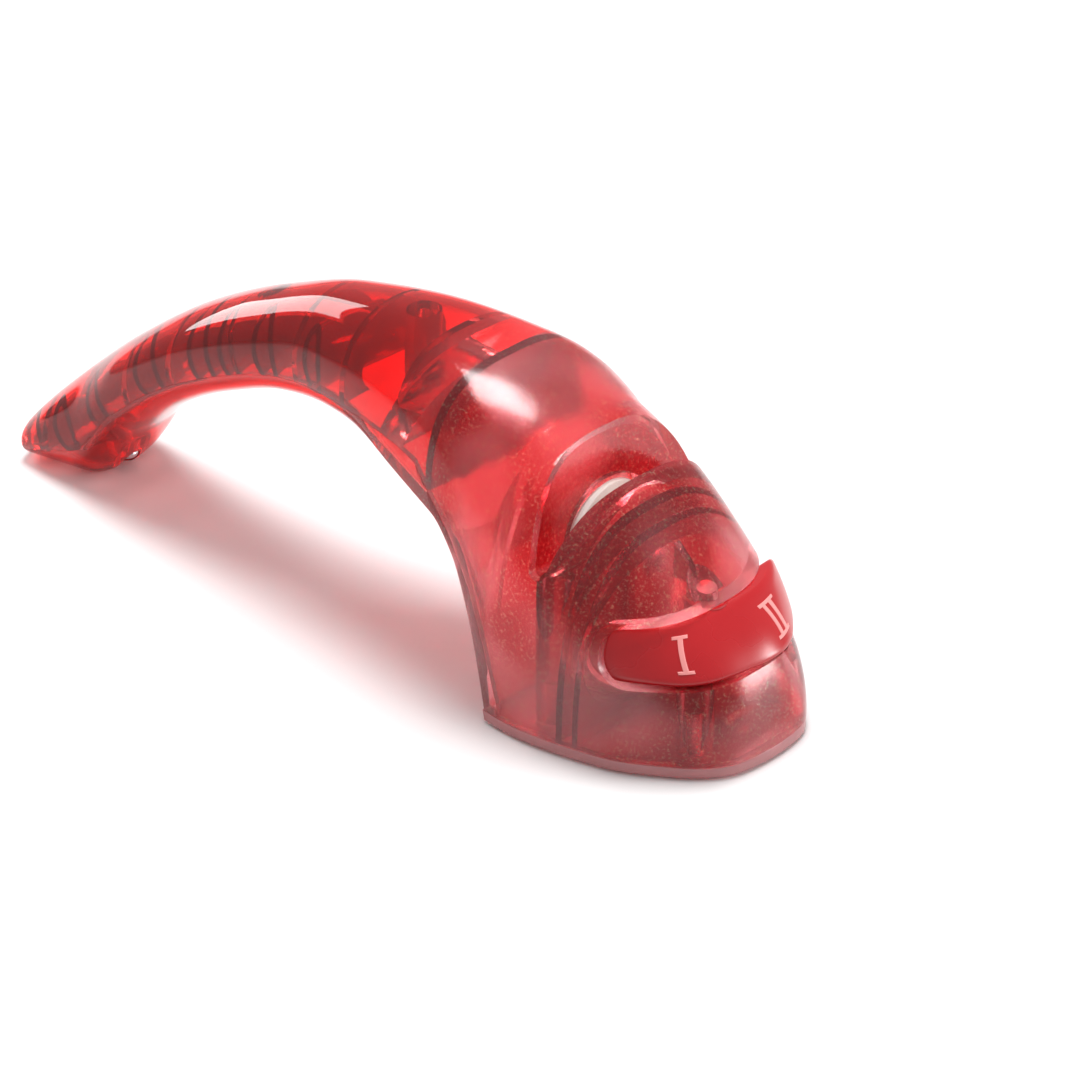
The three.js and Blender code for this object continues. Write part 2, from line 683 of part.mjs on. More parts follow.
function springSolid(bottom, top) {
  // Compression spring: a wire along a helix.
  const wire = 0.2;
  const radius = ballRadius - wire;
  const turns = 3;
  const low = bottom + wire;
  const high = top - wire;
  class Helix extends THREE.Curve {
    getPoint(t) {
      const angle = 2 * Math.PI * turns * t;
      return new THREE.Vector3(
        radius * Math.cos(angle), radius * Math.sin(angle), low + (high - low) * t,
      );
    }
  }
  const section = new THREE.Shape();
  section.absarc(0, 0, wire, 0, 2 * Math.PI, false);
  const geometry = new THREE.ExtrudeGeometry(section, {
    steps: turns * 10, curveSegments: 3, bevelEnabled: false, extrudePath: new Helix(),
  });
  return solidFrom(geometry);
}

function ballSolid() {
  return solidFrom(new THREE.SphereGeometry(ballRadius, 12, 8));
}

function padSolid() {
  return turnedSolid([
    [0, 0], [padRadius - 0.3, 0], [padRadius, 0.3], [padRadius, padThickness], [0, padThickness],
  ], 18);
}

// ---------------------------------------------------------------- assembly

addPiece('upper_shell', upperShell(), clearRed);
addPiece('lower_shell', lowerShell(), clearRed);
addPiece('base_plate', basePlate(), paleRed);
pads.forEach(({ x, y }, i) => {
  addPiece(`base_pad_${i + 1}`, padSolid(), rubber, { at: [x, y, 0] });
});
baseScrews.forEach(({ x, y }, i) => {
  addPiece(`base_screw_${i + 1}`, screwSolid(), steel, { at: [x, y, baseSeat - gap] });
});
handleScrews.forEach(({ x, y }, i) => {
  const seat = underLine(x) + seatDepth - gap;
  addPiece(`handle_screw_${i + 1}`, screwSolid(), steel, { at: [x, y, seat] });
});

const pinBottom = pinFloor + gap;
addPiece('rocker_pin', rodSolid(rockerPinRadius, pinBottom, rockerPinTop), steel,
  { at: [pivotX, 0, 0] });
addPiece('pivot_screw', pivotScrew(), steel, { at: [slotX, 0, 0] });

const ballMiddle = flangeBottom - gap - ballRadius;
addPiece('detent_ball', ballSolid(), steel, { at: [pivotX + detentRadius, 0, ballMiddle] });
addPiece('detent_spring', springSolid(pinFloor + gap, ballMiddle - ballRadius - gap / 3), steel,
  { at: [pivotX + detentRadius, 0, 0] });

// The rocker stands at stage one: its left end is pressed in and its right end stands out.
const selector = new THREE.Group();
selector.position.set(pivotX, 0, 0);
selector.rotation.z = -tilt;
sharpener.add(selector);
addPiece('selector_rocker', rockerSolid(), satinRed, { group: selector });

const carrier = new THREE.Group();
carrier.position.set(slotX, 0, 0);
carrier.rotation.z = carrierTurn;
sharpener.add(carrier);
addPiece('roll_carrier', carrierSolid(), whiteNylon, { group: carrier });
addPiece('drive_pin', rodSolid(drivePinRadius, carrierBottom, forkTop + 0.5), steel,
  { group: carrier, at: [carrierArm, 0, 0] });
addPiece('roll_axle', axleSolid(), steel, { group: carrier });
addPiece('axle_clip_front', clipSolid(1), steel, { group: carrier });
addPiece('axle_clip_rear', clipSolid(-1), steel, { group: carrier });
addPiece('roll_bush', rollBush(), whiteNylon, { group: carrier });
addPiece('roll_disc_front', rollDisc(1), ceramic, { group: carrier });
addPiece('roll_disc_rear', rollDisc(-1), ceramic, { group: carrier });

export default sharpener;
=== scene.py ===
# A two-stage knife sharpener in translucent red plastic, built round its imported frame. It is laid
# out as the real one is put together: shells, base, screws, selector, roll carrier, roll, studio.
import math

import bmesh
import bpy
from mathutils import Matrix, Vector


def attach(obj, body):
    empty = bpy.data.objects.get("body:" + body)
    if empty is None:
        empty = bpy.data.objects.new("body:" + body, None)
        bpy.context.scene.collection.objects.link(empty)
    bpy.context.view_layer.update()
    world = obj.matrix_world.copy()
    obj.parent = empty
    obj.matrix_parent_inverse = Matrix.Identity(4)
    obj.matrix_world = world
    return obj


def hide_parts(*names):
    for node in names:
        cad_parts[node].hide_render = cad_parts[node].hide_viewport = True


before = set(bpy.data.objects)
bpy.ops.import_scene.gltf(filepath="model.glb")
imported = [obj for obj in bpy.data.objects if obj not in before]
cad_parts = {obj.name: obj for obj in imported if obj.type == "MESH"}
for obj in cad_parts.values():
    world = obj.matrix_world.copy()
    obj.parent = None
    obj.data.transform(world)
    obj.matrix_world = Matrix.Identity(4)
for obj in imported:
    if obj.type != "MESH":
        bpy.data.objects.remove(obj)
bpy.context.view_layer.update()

# ------------------------------------------------------------------ upper shell
# The top and sides of the handle and head in one clear red moulding, 2.4 mm thick. It has the
# blade slot with its trough, the rocker's window, cross ribs, and the bosses that the screws bite.
# Its outline, in millimetres, is an oval arched bar that swells into a domed head.

MM = 0.001
TAIL = -102.5
NOSE = 102.5
HANDLE_HALF = 13.7
HEAD_HALF = 28.5


def smooth_curve(points):
    """A monotone cubic through the points, which never swings past one."""
    slope = [(b[1] - a[1]) / (b[0] - a[0]) for a, b in zip(points, points[1:])]
    tangent = [slope[0]]
    for i in range(1, len(slope)):
        before = points[i][0] - points[i - 1][0]
        after = points[i + 1][0] - points[i][0]
        weight_a = 2 * after + before
        weight_b = after + 2 * before
        turns = slope[i - 1] * slope[i] <= 0
        total = weight_a + weight_b
        tangent.append(0 if turns else total / (weight_a / slope[i - 1] + weight_b / slope[i]))
    tangent.append(slope[-1])

    def curve(x):
        if x <= points[0][0]:
            return points[0][1]
        if x >= points[-1][0]:
            return points[-1][1]
        i = max(k for k in range(len(points) - 1) if points[k][0] <= x)
        width = points[i + 1][0] - points[i][0]
        t = (x - points[i][0]) / width
        rise = points[i][1] * (1 + 2 * t) * (1 - t) ** 2 + points[i + 1][1] * t * t * (3 - 2 * t)
        bend = tangent[i] * t * (1 - t) ** 2 + tangent[i + 1] * t * t * (t - 1)
        return rise + width * bend

    return curve


def tail(share):
    return TAIL * share


def nose(setback):
    return NOSE - setback


ARCH_FOOT = nose(51)
top_line = smooth_curve([
    (tail(1), 5.5), (tail(0.95), 12), (tail(0.86), 21), (tail(0.68), 36.3), (tail(0.49), 49.3),
    (tail(0.29), 59), (tail(0.1), 65.5), (nose(92), 68), (nose(72), 66.3), (nose(54.5), 61.4),
    (nose(40.5), 53), (nose(27.5), 42), (nose(14.5), 29), (nose(5.5), 19.2), (nose(0), 4),
])
under_line = smooth_curve([
    (tail(1), -0.6), (tail(0.8), -0.6), (tail(0.68), 13.5), (tail(0.54), 25), (tail(0.37), 34),
    (tail(0.2), 39.8), (tail(0.05), 41.3), (nose(92), 41.3), (nose(68.5), 38.3),
    (nose(61.5), 32), (nose(56.5), 21), (nose(53), 9), (ARCH_FOOT, 0),
])
half_width = smooth_curve([
    (tail(1), HANDLE_HALF * 0.28), (tail(0.95), HANDLE_HALF), (tail(0.86), HANDLE_HALF * 1.05),
    (tail(0.68), HANDLE_HALF * 1.04), (tail(0.44), HANDLE_HALF), (tail(0.2), HANDLE_HALF),
    (0, HANDLE_HALF * 1.19), (nose(82.5), HEAD_HALF * 0.72), (nose(62.5), HEAD_HALF * 0.89),
    (nose(42.5), HEAD_HALF), (nose(22.5), HEAD_HALF * 0.9), (nose(10.5), HEAD_HALF * 0.69),
    (nose(5.5), HEAD_HALF * 0.56), (nose(2.8), HEAD_HALF * 0.45), (nose(1.4), HEAD_HALF * 0.36),
    (nose(0.6), HEAD_HALF * 0.26), (nose(0), HEAD_HALF * 0.12),
])


def steepness(curve, x):
    return math.hypot(1, curve(x + 0.5) - curve(x - 0.5))


def head_share(x):
    """0 along the oval handle, 1 along the boxy head."""
    return 1 / (1 + math.exp(-(x - nose(88.5)) / 5.3))


def section_sizes(x, inset):
    """Foot, widest height, top, half width and the two corner powers of the form's section."""
    head = head_share(x)
    top = top_line(x) - inset * steepness(top_line, x)
    open_below = inset > 0 and x > ARCH_FOOT + inset
    foot = -6 if open_below else under_line(x) + inset * steepness(under_line, x)
    side = half_width(x) - inset * steepness(half_width, x)
    widest = foot + (0.45 - 0.41 * head) * (top - foot)
    return foot, widest, top, side, 2.1 + 0.75 * head, 2.3 + 2.0 * head


def section(x, inset, sides, end_rounding):
    """One ring of the form at x, drawn in by inset; end_rounding draws it in near each end."""
    foot, widest, top, side, upper_power, lower_power = section_sizes(x, inset)
    middle = (foot + top) / 2
    ring = []
    for k in range(sides):
        across = math.cos(2 * math.pi * k / sides)
        up = math.sin(2 * math.pi * k / sides)
        power = 2 / (upper_power if up >= 0 else lower_power)
        reach = top - widest if up >= 0 else widest - foot
        y = math.copysign(abs(across) ** power, across) * (side - min(end_rounding, side * 0.9))
        z = widest + math.copysign(abs(up) ** power, up) * reach
        z += (middle - z) * min(end_rounding / max((top - foot) / 2, 0.1), 0.9)
        ring.append((x, y, z))
    return ring


def spread(start, end, count):
    return [start + (end - start) * i / count for i in range(count)]


def new_piece(name, points, faces):
    """A closed mesh object from points in millimetres, its faces turned outwards."""
    mesh = bpy.data.meshes.new(name)
    mesh.from_pydata([Vector(p) * MM for p in points], [], faces)
    shape = bmesh.new()
    shape.from_mesh(mesh)
    if shape.calc_volume(signed=True) < 0:
        bmesh.ops.reverse_faces(shape, faces=shape.faces)
    shape.to_mesh(mesh)
    shape.free()
    piece = bpy.data.objects.new(name, mesh)
    bpy.context.scene.collection.objects.link(piece)
    return piece


def skinned(name, rings):
    """A closed mesh over rings of equally many points, capped at both ends."""
    sides = len(rings[0])
    faces = []
    for i in range(len(rings) - 1):
        for k in range(sides):
            a = i * sides + k
            b = i * sides + (k + 1) % sides
            faces.append((a, b, b + sides, a + sides))
    faces.append(tuple(reversed(range(sides))))
    faces.append(tuple(range((len(rings) - 1) * sides, len(rings) * sides)))
    return new_piece(name, [p for ring in rings for p in ring], faces)


FINE = 2
END_RADIUS = 1.6


def form(name, inset=0.0, sides=48 * FINE):
    """The closed solid of the whole form, drawn in by inset on every side."""
    first = TAIL + inset * 2.6
    last = NOSE - inset * 1.6
    stations = (
        spread(first, tail(0.94), 6 * FINE) + spread(tail(0.94), tail(0.62), 12 * FINE)
        + spread(tail(0.62), nose(82), 16 * FINE) + spread(nose(82), nose(66), 6 * FINE)
        + spread(nose(66), nose(47), 14 * FINE) + spread(nose(47), nose(14), 14 * FINE)
        + spread(nose(14), last, 14 * FINE) + [last]
    )
    rings = []
    for x in stations:
        depth = max(min(x - first, last - x, END_RADIUS), 0)
        rounding = END_RADIUS - math.sqrt(END_RADIUS ** 2 - (END_RADIUS - depth) ** 2)
        rings.append(section(x, inset, sides, rounding))
    return skinned(name, rings)


WALL = 2.4
GAP = 0.3
SEAM_GAP = 0.06
REACH = 80.0
SHELL_FOOT = 2.9
SLOT_X = nose(40)
SLOT_FLOOR = 35.0
SLOT_FLOOR_HALF = 1.8
SLOT_MOUTH_HALF = 5.0
SLOT_WALL = 1.8
AXLE_HEIGHT = 31.0
WELL_RADIUS = 15.2
WELL_HALF = 9.5
PIVOT_X = nose(18.5)
WINDOW_REAR = nose(25)
WINDOW_LOW = 18.0
WINDOW_HIGH = 29.0
WINDOW_LOW_CORNER = 6.5
WINDOW_HIGH_CORNER = 3.0
TILT = math.radians(9)
BOSS_RADIUS = 3.5
BORE_RADIUS = 1.6
SCREW_LENGTH = 9.0
HANDLE_SCREWS = [(tail(0.77), 0.0), (tail(0.3), 0.0), (nose(92), 0.0)]
BASE_SCREWS = [(nose(10.5), -12.4), (nose(10.5), 12.4), (nose(38), -20.9), (nose(38), 20.9)]
SEAT_DEPTH = 3.6
BASE_SEAT = 2.5
SCREW_HEAD_BORE = 2.8
PIN_BORE = 2.3
POST_RADIUS = 4.2


def new_material(name):
    """A material with only a Principled BSDF and an output."""
    material = bpy.data.materials.new(name)
    material.use_nodes = True
    tree = material.node_tree
    return material, tree, tree.nodes["Principled BSDF"]


def node(tree, kind, **settings):
    made = tree.nodes.new(kind)
    for key, value in settings.items():
        if key in made.inputs:
            made.inputs[key].default_value = value
        else:
            setattr(made, key, value)
    return made


def group_sockets(tree, inputs, outputs):
    for name, kind, value in inputs:
        socket = tree.interface.new_socket(name, in_out="INPUT", socket_type=kind)
        socket.default_value = value
    for name, kind in outputs:
        tree.interface.new_socket(name, in_out="OUTPUT", socket_type=kind)
    return tree.nodes.new("NodeGroupInput"), tree.nodes.new("NodeGroupOutput")


def moulded_finish():
    """Spark-eroded mould texture: fine grain, sparse specks in it, and slow changes of gloss. The specks
    are painted glints on the red plastic and pale specks on the ceramic.
    """
    tree = bpy.data.node_groups.new("Moulded finish", "ShaderNodeTree")
    given, out = group_sockets(
        tree,
        [("Grain Size", "NodeSocketFloat", 2600.0), ("Gloss Change", "NodeSocketFloat", 0.05)],
        [("Grain", "NodeSocketFloat"), ("Speck And Painted Glint", "NodeSocketFloat"), ("Cloud", "NodeSocketFloat")],
    )
    place = node(tree, "ShaderNodeTexCoord")
    grain = node(tree, "ShaderNodeTexNoise", Detail=2.0, Roughness=0.6)
    tree.links.new(place.outputs["Object"], grain.inputs["Vector"])
    tree.links.new(given.outputs["Grain Size"], grain.inputs["Scale"])
    glint = node(tree, "ShaderNodeMapRange")
    glint.inputs["From Min"].default_value = 0.56
    glint.inputs["From Max"].default_value = 0.66
    tree.links.new(grain.outputs["Fac"], glint.inputs["Value"])
    cloud = node(tree, "ShaderNodeTexNoise", Scale=70.0, Detail=3.0)
    tree.links.new(place.outputs["Object"], cloud.inputs["Vector"])
    soft = node(tree, "ShaderNodeMath", operation="MULTIPLY")
    tree.links.new(cloud.outputs["Fac"], soft.inputs[0])
    tree.links.new(given.outputs["Gloss Change"], soft.inputs[1])
    tree.links.new(grain.outputs["Fac"], out.inputs["Grain"])
    tree.links.new(glint.outputs["Result"], out.inputs["Speck And Painted Glint"])
    tree.links.new(soft.outputs["Value"], out.inputs["Cloud"])
    return tree


FINISH = moulded_finish()


def place_group(tree, group, **values):
    made = tree.nodes.new("ShaderNodeGroup")
    made.node_tree = group
    for name, value in values.items():
        made.inputs[name.replace("_", " ")].default_value = value
    return made


def along_x(tree, start, end):
    """A mask that rises from 0 at start to 1 at end, in millimetres along X."""
    place = node(tree, "ShaderNodeTexCoord")
    split = node(tree, "ShaderNodeSeparateXYZ")
    mask = node(tree, "ShaderNodeMapRange", interpolation_type="SMOOTHSTEP")
    mask.inputs["From Min"].default_value = start * MM
    mask.inputs["From Max"].default_value = end * MM
    tree.links.new(place.outputs["Object"], split.inputs["Vector"])
    tree.links.new(split.outputs["X"], mask.inputs["Value"])
    return mask.outputs["Result"]


def feed(tree, made, **values):
    """Links or sets inputs of a node, each named in_ and its number."""
    for name, value in values.items():
        socket = made.inputs[int(name.removeprefix("in_"))]
        if isinstance(value, bpy.types.NodeSocket):
            tree.links.new(value, socket)
        else:
            socket.default_value = (*value, 1) if isinstance(value, tuple) else value
    return made


def mixed_colour(tree, share, low, high):
    mix = node(tree, "ShaderNodeMix", data_type="RGBA")
    return feed(tree, mix, in_0=share, in_6=low, in_7=high).outputs[2]


def mixed_value(tree, share, low, high):
    mix = node(tree, "ShaderNodeMix", data_type="FLOAT")
    return feed(tree, mix, in_0=share, in_2=low, in_3=high).outputs[0]


def multiplied(tree, a, b):
    product = node(tree, "ShaderNodeMath", operation="MULTIPLY")
    return feed(tree, product, in_0=a, in_1=b).outputs[0]


def lets_light_in(tree, shader, share):
    """Lets a share of the lamps' light straight through, as thin clear plastic does."""
    path = node(tree, "ShaderNodeLightPath")
    solid = node(tree, "ShaderNodeMapRange")
    solid.inputs["To Min"].default_value = 1
    solid.inputs["To Max"].default_value = 1 - share
    tree.links.new(path.outputs["Is Shadow Ray"], solid.inputs["Value"])
    tree.links.new(solid.outputs["Result"], shader.inputs["Alpha"])


def clear_red_plastic(name, handle_red, head_pink_and_highlight, head_maroon_and_shade, haze):
    """Polished and clear on the handle; spark-eroded and misty on the head, where uneven tone mixes with
    painted shade, painted highlight and painted glints.
    """
    material, tree, shader = new_material(name)
    misty = along_x(tree, 14, 44)
    finish = place_group(tree, FINISH, Grain_Size=1700.0, Gloss_Change=0.06)
    place = node(tree, "ShaderNodeTexCoord")
    # Random clouds on the head between a dark maroon and a pale pink: partly the plastic's own uneven tone,
    # partly painted shade and painted highlight.
    drift = node(tree, "ShaderNodeTexNoise", Scale=38.0, Detail=1.0)
    tree.links.new(place.outputs["Object"], drift.inputs["Vector"])
    patch = node(tree, "ShaderNodeMapRange", interpolation_type="SMOOTHSTEP")
    patch.inputs["From Min"].default_value = 0.42
    patch.inputs["From Max"].default_value = 0.60
    tree.links.new(drift.outputs["Fac"], patch.inputs["Value"])
    head = mixed_colour(tree, patch.outputs["Result"], head_maroon_and_shade, head_pink_and_highlight)
    red = mixed_colour(tree, misty, handle_red, head)
    # Painted glints: pale gold specks mixed into the head's base colour.
    glint = multiplied(tree, finish.outputs["Speck And Painted Glint"], multiplied(tree, misty, 0.9))
    tree.links.new(mixed_colour(tree, glint, red, (1.0, 0.66, 0.44)), shader.inputs["Base Color"])
    gloss = mixed_value(tree, misty, 0.02, haze)
    rough = node(tree, "ShaderNodeMath", operation="ADD")
    tree.links.new(gloss, rough.inputs[0])
    tree.links.new(multiplied(tree, finish.outputs["Cloud"], misty), rough.inputs[1])
    tree.links.new(rough.outputs[0], shader.inputs["Roughness"])
    bump = node(tree, "ShaderNodeBump", Strength=0.7, Distance=0.00005)
    tree.links.new(multiplied(tree, finish.outputs["Grain"], misty), bump.inputs["Height"])
    tree.links.new(bump.outputs["Normal"], shader.inputs["Normal"])
    lets_light_in(tree, shader, 0.55)
    shader.inputs["Transmission Weight"].default_value = 0.9
    shader.inputs["Specular IOR Level"].default_value = 0.16
    shader.inputs["IOR"].default_value = 1.49
    return material


CLEAR_RED = clear_red_plastic(
    "clear_red_plastic", (0.98, 0.016, 0.014), (1.0, 0.34, 0.38), (0.74, 0.045, 0.060), 0.14,
)
# A darker copy of the same clear red for the inner ribs, sleeves, bosses and slot trough of the one
# moulding: painted shade, so they read dark through the shell.
SHADED_RED = clear_red_plastic(
    "shaded_red_ribs", (0.16, 0.004, 0.012), (0.70, 0.045, 0.080), (0.34, 0.014, 0.030), 0.10,
)


def joined(target, tool, operation):
    """Cuts, joins or meets target with tool, which is used up. Faces keep their materials."""
    step = target.modifiers.new("join", "BOOLEAN")
    step.operation = operation
    step.object = tool
    step.solver = "MANIFOLD"
    step.material_mode = "TRANSFER"
    evaluated = target.evaluated_get(bpy.context.evaluated_depsgraph_get())
    mesh = bpy.data.meshes.new_from_object(evaluated)
    target.modifiers.clear()
    target.data = mesh
    bpy.data.objects.remove(tool)
    return target


def cut(target, tool):
    return joined(target, tool, "DIFFERENCE")


def add(target, tool):
    return joined(target, tool, "UNION")


def meet(target, tool):
    return joined(target, tool, "INTERSECT")


def prism(outline, half_depth):
    """An outline of (x, z) points, anticlockwise seen from -Y, carried both ways along Y."""
    count = len(outline)
    points = [(x, -half_depth, z) for x, z in outline] + [(x, half_depth, z) for x, z in outline]
    faces = [tuple(range(count)), tuple(reversed(range(count, 2 * count)))]
    for i in range(count):
        after = (i + 1) % count
        faces.append((i, i + count, after + count, after))
    return new_piece("tool", points, faces)


def block(low, high):
    outline = [(low[0], low[2]), (high[0], low[2]), (high[0], high[2]), (low[0], high[2])]
    piece = prism(outline, (high[1] - low[1]) / 2)
    piece.data.transform(Matrix.Translation((0, (high[1] + low[1]) / 2 * MM, 0)))
    return piece


def turned(name, profile, segments=64):
    """A closed profile of (radius, height) points turned about Z; a point on the axis is shared."""
    points = []
    rows = []
    for radius, height in profile:
        if radius < 1e-6:
            rows.append([len(points)] * segments)
            points.append((0, 0, height))
            continue
        rows.append(list(range(len(points), len(points) + segments)))
        for k in range(segments):
            angle = 2 * math.pi * k / segments
            points.append((radius * math.cos(angle), radius * math.sin(angle), height))
    faces = []
    on_axis = profile[0][0] < 1e-6 and profile[-1][0] < 1e-6
    pairs = list(zip(rows, rows[1:])) + ([] if on_axis else [(rows[-1], rows[0])])
    for lower, upper in pairs:
        for k in range(segments):
            after = (k + 1) % segments
            corners = [lower[k], lower[after], upper[after], upper[k]]
            face = list(dict.fromkeys(corners))
            if len(face) > 2:
                faces.append(tuple(face))
    return new_piece(name, points, faces)


def rod(radius, bottom, top, x=0.0, y=0.0, segments=48):
    piece = turned("tool", [(0, bottom), (radius, bottom), (radius, top), (0, top)], segments)
    piece.data.transform(Matrix.Translation((x * MM, y * MM, 0)))
    return piece


def turn_to_x(piece, x=SLOT_X, height=AXLE_HEIGHT):
    """Lays a piece that was turned about Z along X, at a height."""
    piece.data.transform(Matrix.Rotation(math.pi / 2, 4, "Y"))
    piece.data.transform(Matrix.Translation((x * MM, 0, height * MM)))
    return piece


def turn_about(piece, x, angle):
    place = Matrix.Translation((x * MM, 0, 0))
    piece.data.transform(place @ Matrix.Rotation(angle, 4, "Z") @ place.inverted())
    return piece


def arc(x, z, radius, start, end, count=8):
    angles = [math.radians(start + (end - start) * i / count) for i in range(count + 1)]
    return [(x + radius * math.cos(a), z + radius * math.sin(a)) for a in angles]


def slot_outline(grow):
    """Blade slot from the side: a round floor and walls that flare to the mouth."""
    half = SLOT_FLOOR_HALF + grow
    flare = (SLOT_MOUTH_HALF - SLOT_FLOOR_HALF) / (top_line(SLOT_X) - SLOT_FLOOR)
    top = top_line(SLOT_X) + 12
    mouth = half + flare * (top - SLOT_FLOOR)
    floor = arc(SLOT_X, SLOT_FLOOR - grow + half, half, 180, 360, 12)
    return floor + [(SLOT_X + mouth, top), (SLOT_X - mouth, top)]


def window_outline(shrink):
    """Rocker's window from the side: open at the nose, with two round rear corners."""
    rear = WINDOW_REAR + shrink
    low = WINDOW_LOW + shrink
    high = WINDOW_HIGH - shrink
    high_corner, low_corner = WINDOW_HIGH_CORNER, WINDOW_LOW_CORNER
    upper = arc(rear + high_corner, high - high_corner, high_corner, 90, 180)
    lower = arc(rear + low_corner, low + low_corner, low_corner, 180, 270, 12)
    return upper + lower + [(NOSE + REACH, low), (NOSE + REACH, high)]


def seam_height(x):
    return under_line(x) + 0.3 * (top_line(x) - under_line(x))


def seam_outline(offset):
    """What lies below the seam: low along the handle, then down the head's rear corner."""
    shares = [1.1, 0.96, 0.86, 0.77, 0.68, 0.58, 0.49, 0.39, 0.29, 0.2, 0.1, 0]
    along = [tail(share) for share in shares] + [nose(92), nose(82), nose(74)]
    handle = [(x, seam_height(x) + offset) for x in along]
    corner = [(62.5, 37.5), (56, 28), (51.5, 17), (47.5, 5.5), (46.5, -REACH)]
    rear = [(nose(setback) + offset, z + offset) for setback, z in corner]
    return [(tail(1.1), -REACH)] + list(reversed(handle + rear))


def moved_face(steps):
    """All that the rocker's face sweeps, a clearance larger all round."""
    swept = None
    for step in steps:
        face = meet(form("tool", -GAP), prism(window_outline(0), REACH))
        turn_about(face, PIVOT_X, step * TILT)
        swept = add(swept, face) if swept else face
    return swept


def shell_blank():
    return cut(form("shell"), form("tool", WALL))


upper = shell_blank()


def oval_tube(share, along, across, lean, wall=1.5):
    """A moulded sleeve from side to side of the handle, oval and leaning with the arch."""
    x = tail(share)
    middle = (top_line(x) + under_line(x)) / 2
    sleeve = None
    for grow in (0, -wall):
        drum = rod(1.0, -REACH, REACH, 0, 0, 40)
        drum.data.transform(Matrix.Rotation(math.pi / 2, 4, "X"))
        drum.data.transform(Matrix.Diagonal((along + grow, 1, across + grow, 1)))
        drum.data.transform(Matrix.Rotation(math.radians(-lean), 4, "Y"))
        drum.data.transform(Matrix.Translation((x * MM, 0, middle * MM)))
        sleeve = cut(sleeve, drum) if sleeve else drum
    return sleeve


inner = block((nose(71), -REACH, 0), (nose(69), REACH, REACH))
for rib_x, thick, opening in (
    (tail(0.88), 1.6, 0.58), (tail(0.63), 1.6, 0.58), (tail(0.5), 1.6, 0.58),
    (tail(0.13), 1.6, 0.58), (nose(100), 1.6, 0.58), (nose(82), 1.6, 0.58),
    (nose(33), 1.4, 0.84), (nose(29.5), 1.2, 0.84),
):
    middle = (top_line(rib_x) + under_line(rib_x)) / 2
    half = (top_line(rib_x) - under_line(rib_x)) / 2
    rib = block((rib_x - thick / 2, -REACH, -REACH), (rib_x + thick / 2, REACH, REACH))
    oval = turn_to_x(rod(1.0, -REACH, REACH), 0, 0)
    spread_by = (1, half_width(rib_x) * opening, half * (opening - 0.08), 1)
    oval.data.transform(Matrix.Diagonal(spread_by))
    oval.data.transform(Matrix.Translation((0, 0, (middle - half * 0.1) * MM)))
    inner = add(inner, cut(rib, oval))
saddle = prism([(9, 36), (17, 36), (36, 72), (28, 72)], REACH)
keyhole = turn_to_x(rod(6.0, -REACH, REACH), 0, 50)
inner = add(inner, cut(saddle, keyhole))
for share, along, across, lean in (
    (0.925, 3.6, 4.4, 34), (0.82, 3.4, 5.6, 34), (0.72, 3.0, 6.6, 32), (0.565, 4.2, 7.2, 28),
    (0.41, 3.6, 9.4, 22), (0.33, 2.6, 8.0, 20), (0.225, 3.4, 7.6, 16), (0.075, 3.0, 6.6, 12),
):
    inner = add(inner, oval_tube(share, along, across, lean))
for x, y in HANDLE_SCREWS:
    inner = add(inner, rod(BOSS_RADIUS, seam_height(x), 2 * REACH, x, y))
for x, y in BASE_SCREWS:
    inner = add(inner, rod(BOSS_RADIUS, 4.3, SLOT_FLOOR, x, y))
inner = add(inner, rod(POST_RADIUS, WINDOW_HIGH + GAP, REACH, PIVOT_X))
inner = add(inner, block((PIVOT_X - 8, -0.8, WINDOW_HIGH + 1.5), (PIVOT_X - 2, 0.8, REACH)))
well = turn_to_x(rod(WELL_RADIUS, -WELL_HALF, WELL_HALF))
trough = cut(prism(slot_outline(SLOT_WALL), REACH), well)
inner = add(inner, trough)
inner = meet(inner, form("tool", WALL / 2))
upper.data.materials.append(CLEAR_RED)
# The inner parts take the darker copy of the red: painted shade.
inner.data.materials.clear()
inner.data.materials.append(SHADED_RED)

upper = add(upper, inner)
upper = cut(upper, prism(slot_outline(0), REACH))
upper = cut(upper, moved_face([-1, 0, 1]))
upper = cut(upper, prism(seam_outline(SEAM_GAP / 2), REACH))
upper = cut(upper, block((ARCH_FOOT - 4, -REACH, -REACH), (2 * REACH, REACH, SHELL_FOOT)))
for x, y in HANDLE_SCREWS:
    upper = cut(upper, rod(BORE_RADIUS, 0, under_line(x) + SEAT_DEPTH + SCREW_LENGTH + 1, x, y, 24))
for x, y in BASE_SCREWS:
    upper = cut(upper, rod(BORE_RADIUS, 0, BASE_SEAT + SCREW_LENGTH + 1, x, y, 24))
upper = cut(upper, rod(PIN_BORE, 0, WINDOW_HIGH + 1.9, PIVOT_X, 0, 32))


def finish_edges(piece, width=0.25, angle=38, segments=2):
    """Rounds the piece's sharp edges a little, as a mould leaves them, and shades it smooth."""
    if width > 0:
        edge = piece.modifiers.new("edges", "BEVEL")
        edge.width = width * MM
        edge.segments = segments
        edge.limit_method = "ANGLE"
        edge.angle_limit = math.radians(angle)
        edge.use_clamp_overlap = True
        evaluated = piece.evaluated_get(bpy.context.evaluated_depsgraph_get())
        mesh = bpy.data.meshes.new_from_object(evaluated)
        piece.modifiers.clear()
        piece.data = mesh
    piece.data.shade_smooth()
    piece.data.set_sharp_from_angle(angle=math.radians(angle))
    return piece


def put(piece, name, body, material, slot, *nodes):
    """Names a finished piece, gives it its material and fixes it to the frame."""
    piece.name = name
    piece.data.name = name
    materials = piece.data.materials
    if not materials:
        materials.append(material)
    for i, given in enumerate(materials):
        materials[i] = given or material
    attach(piece, body)
    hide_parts(*nodes)


put(finish_edges(upper), "upper_shell_moulding", "housing", CLEAR_RED, "clear_red", "upper_shell")

# ------------------------------------------------------------------ lower shell
# The underside of the handle and the rear wall of the head, in the same clear red. Three screw
# seats are sunk in it, and it closes on the upper shell along the seam.

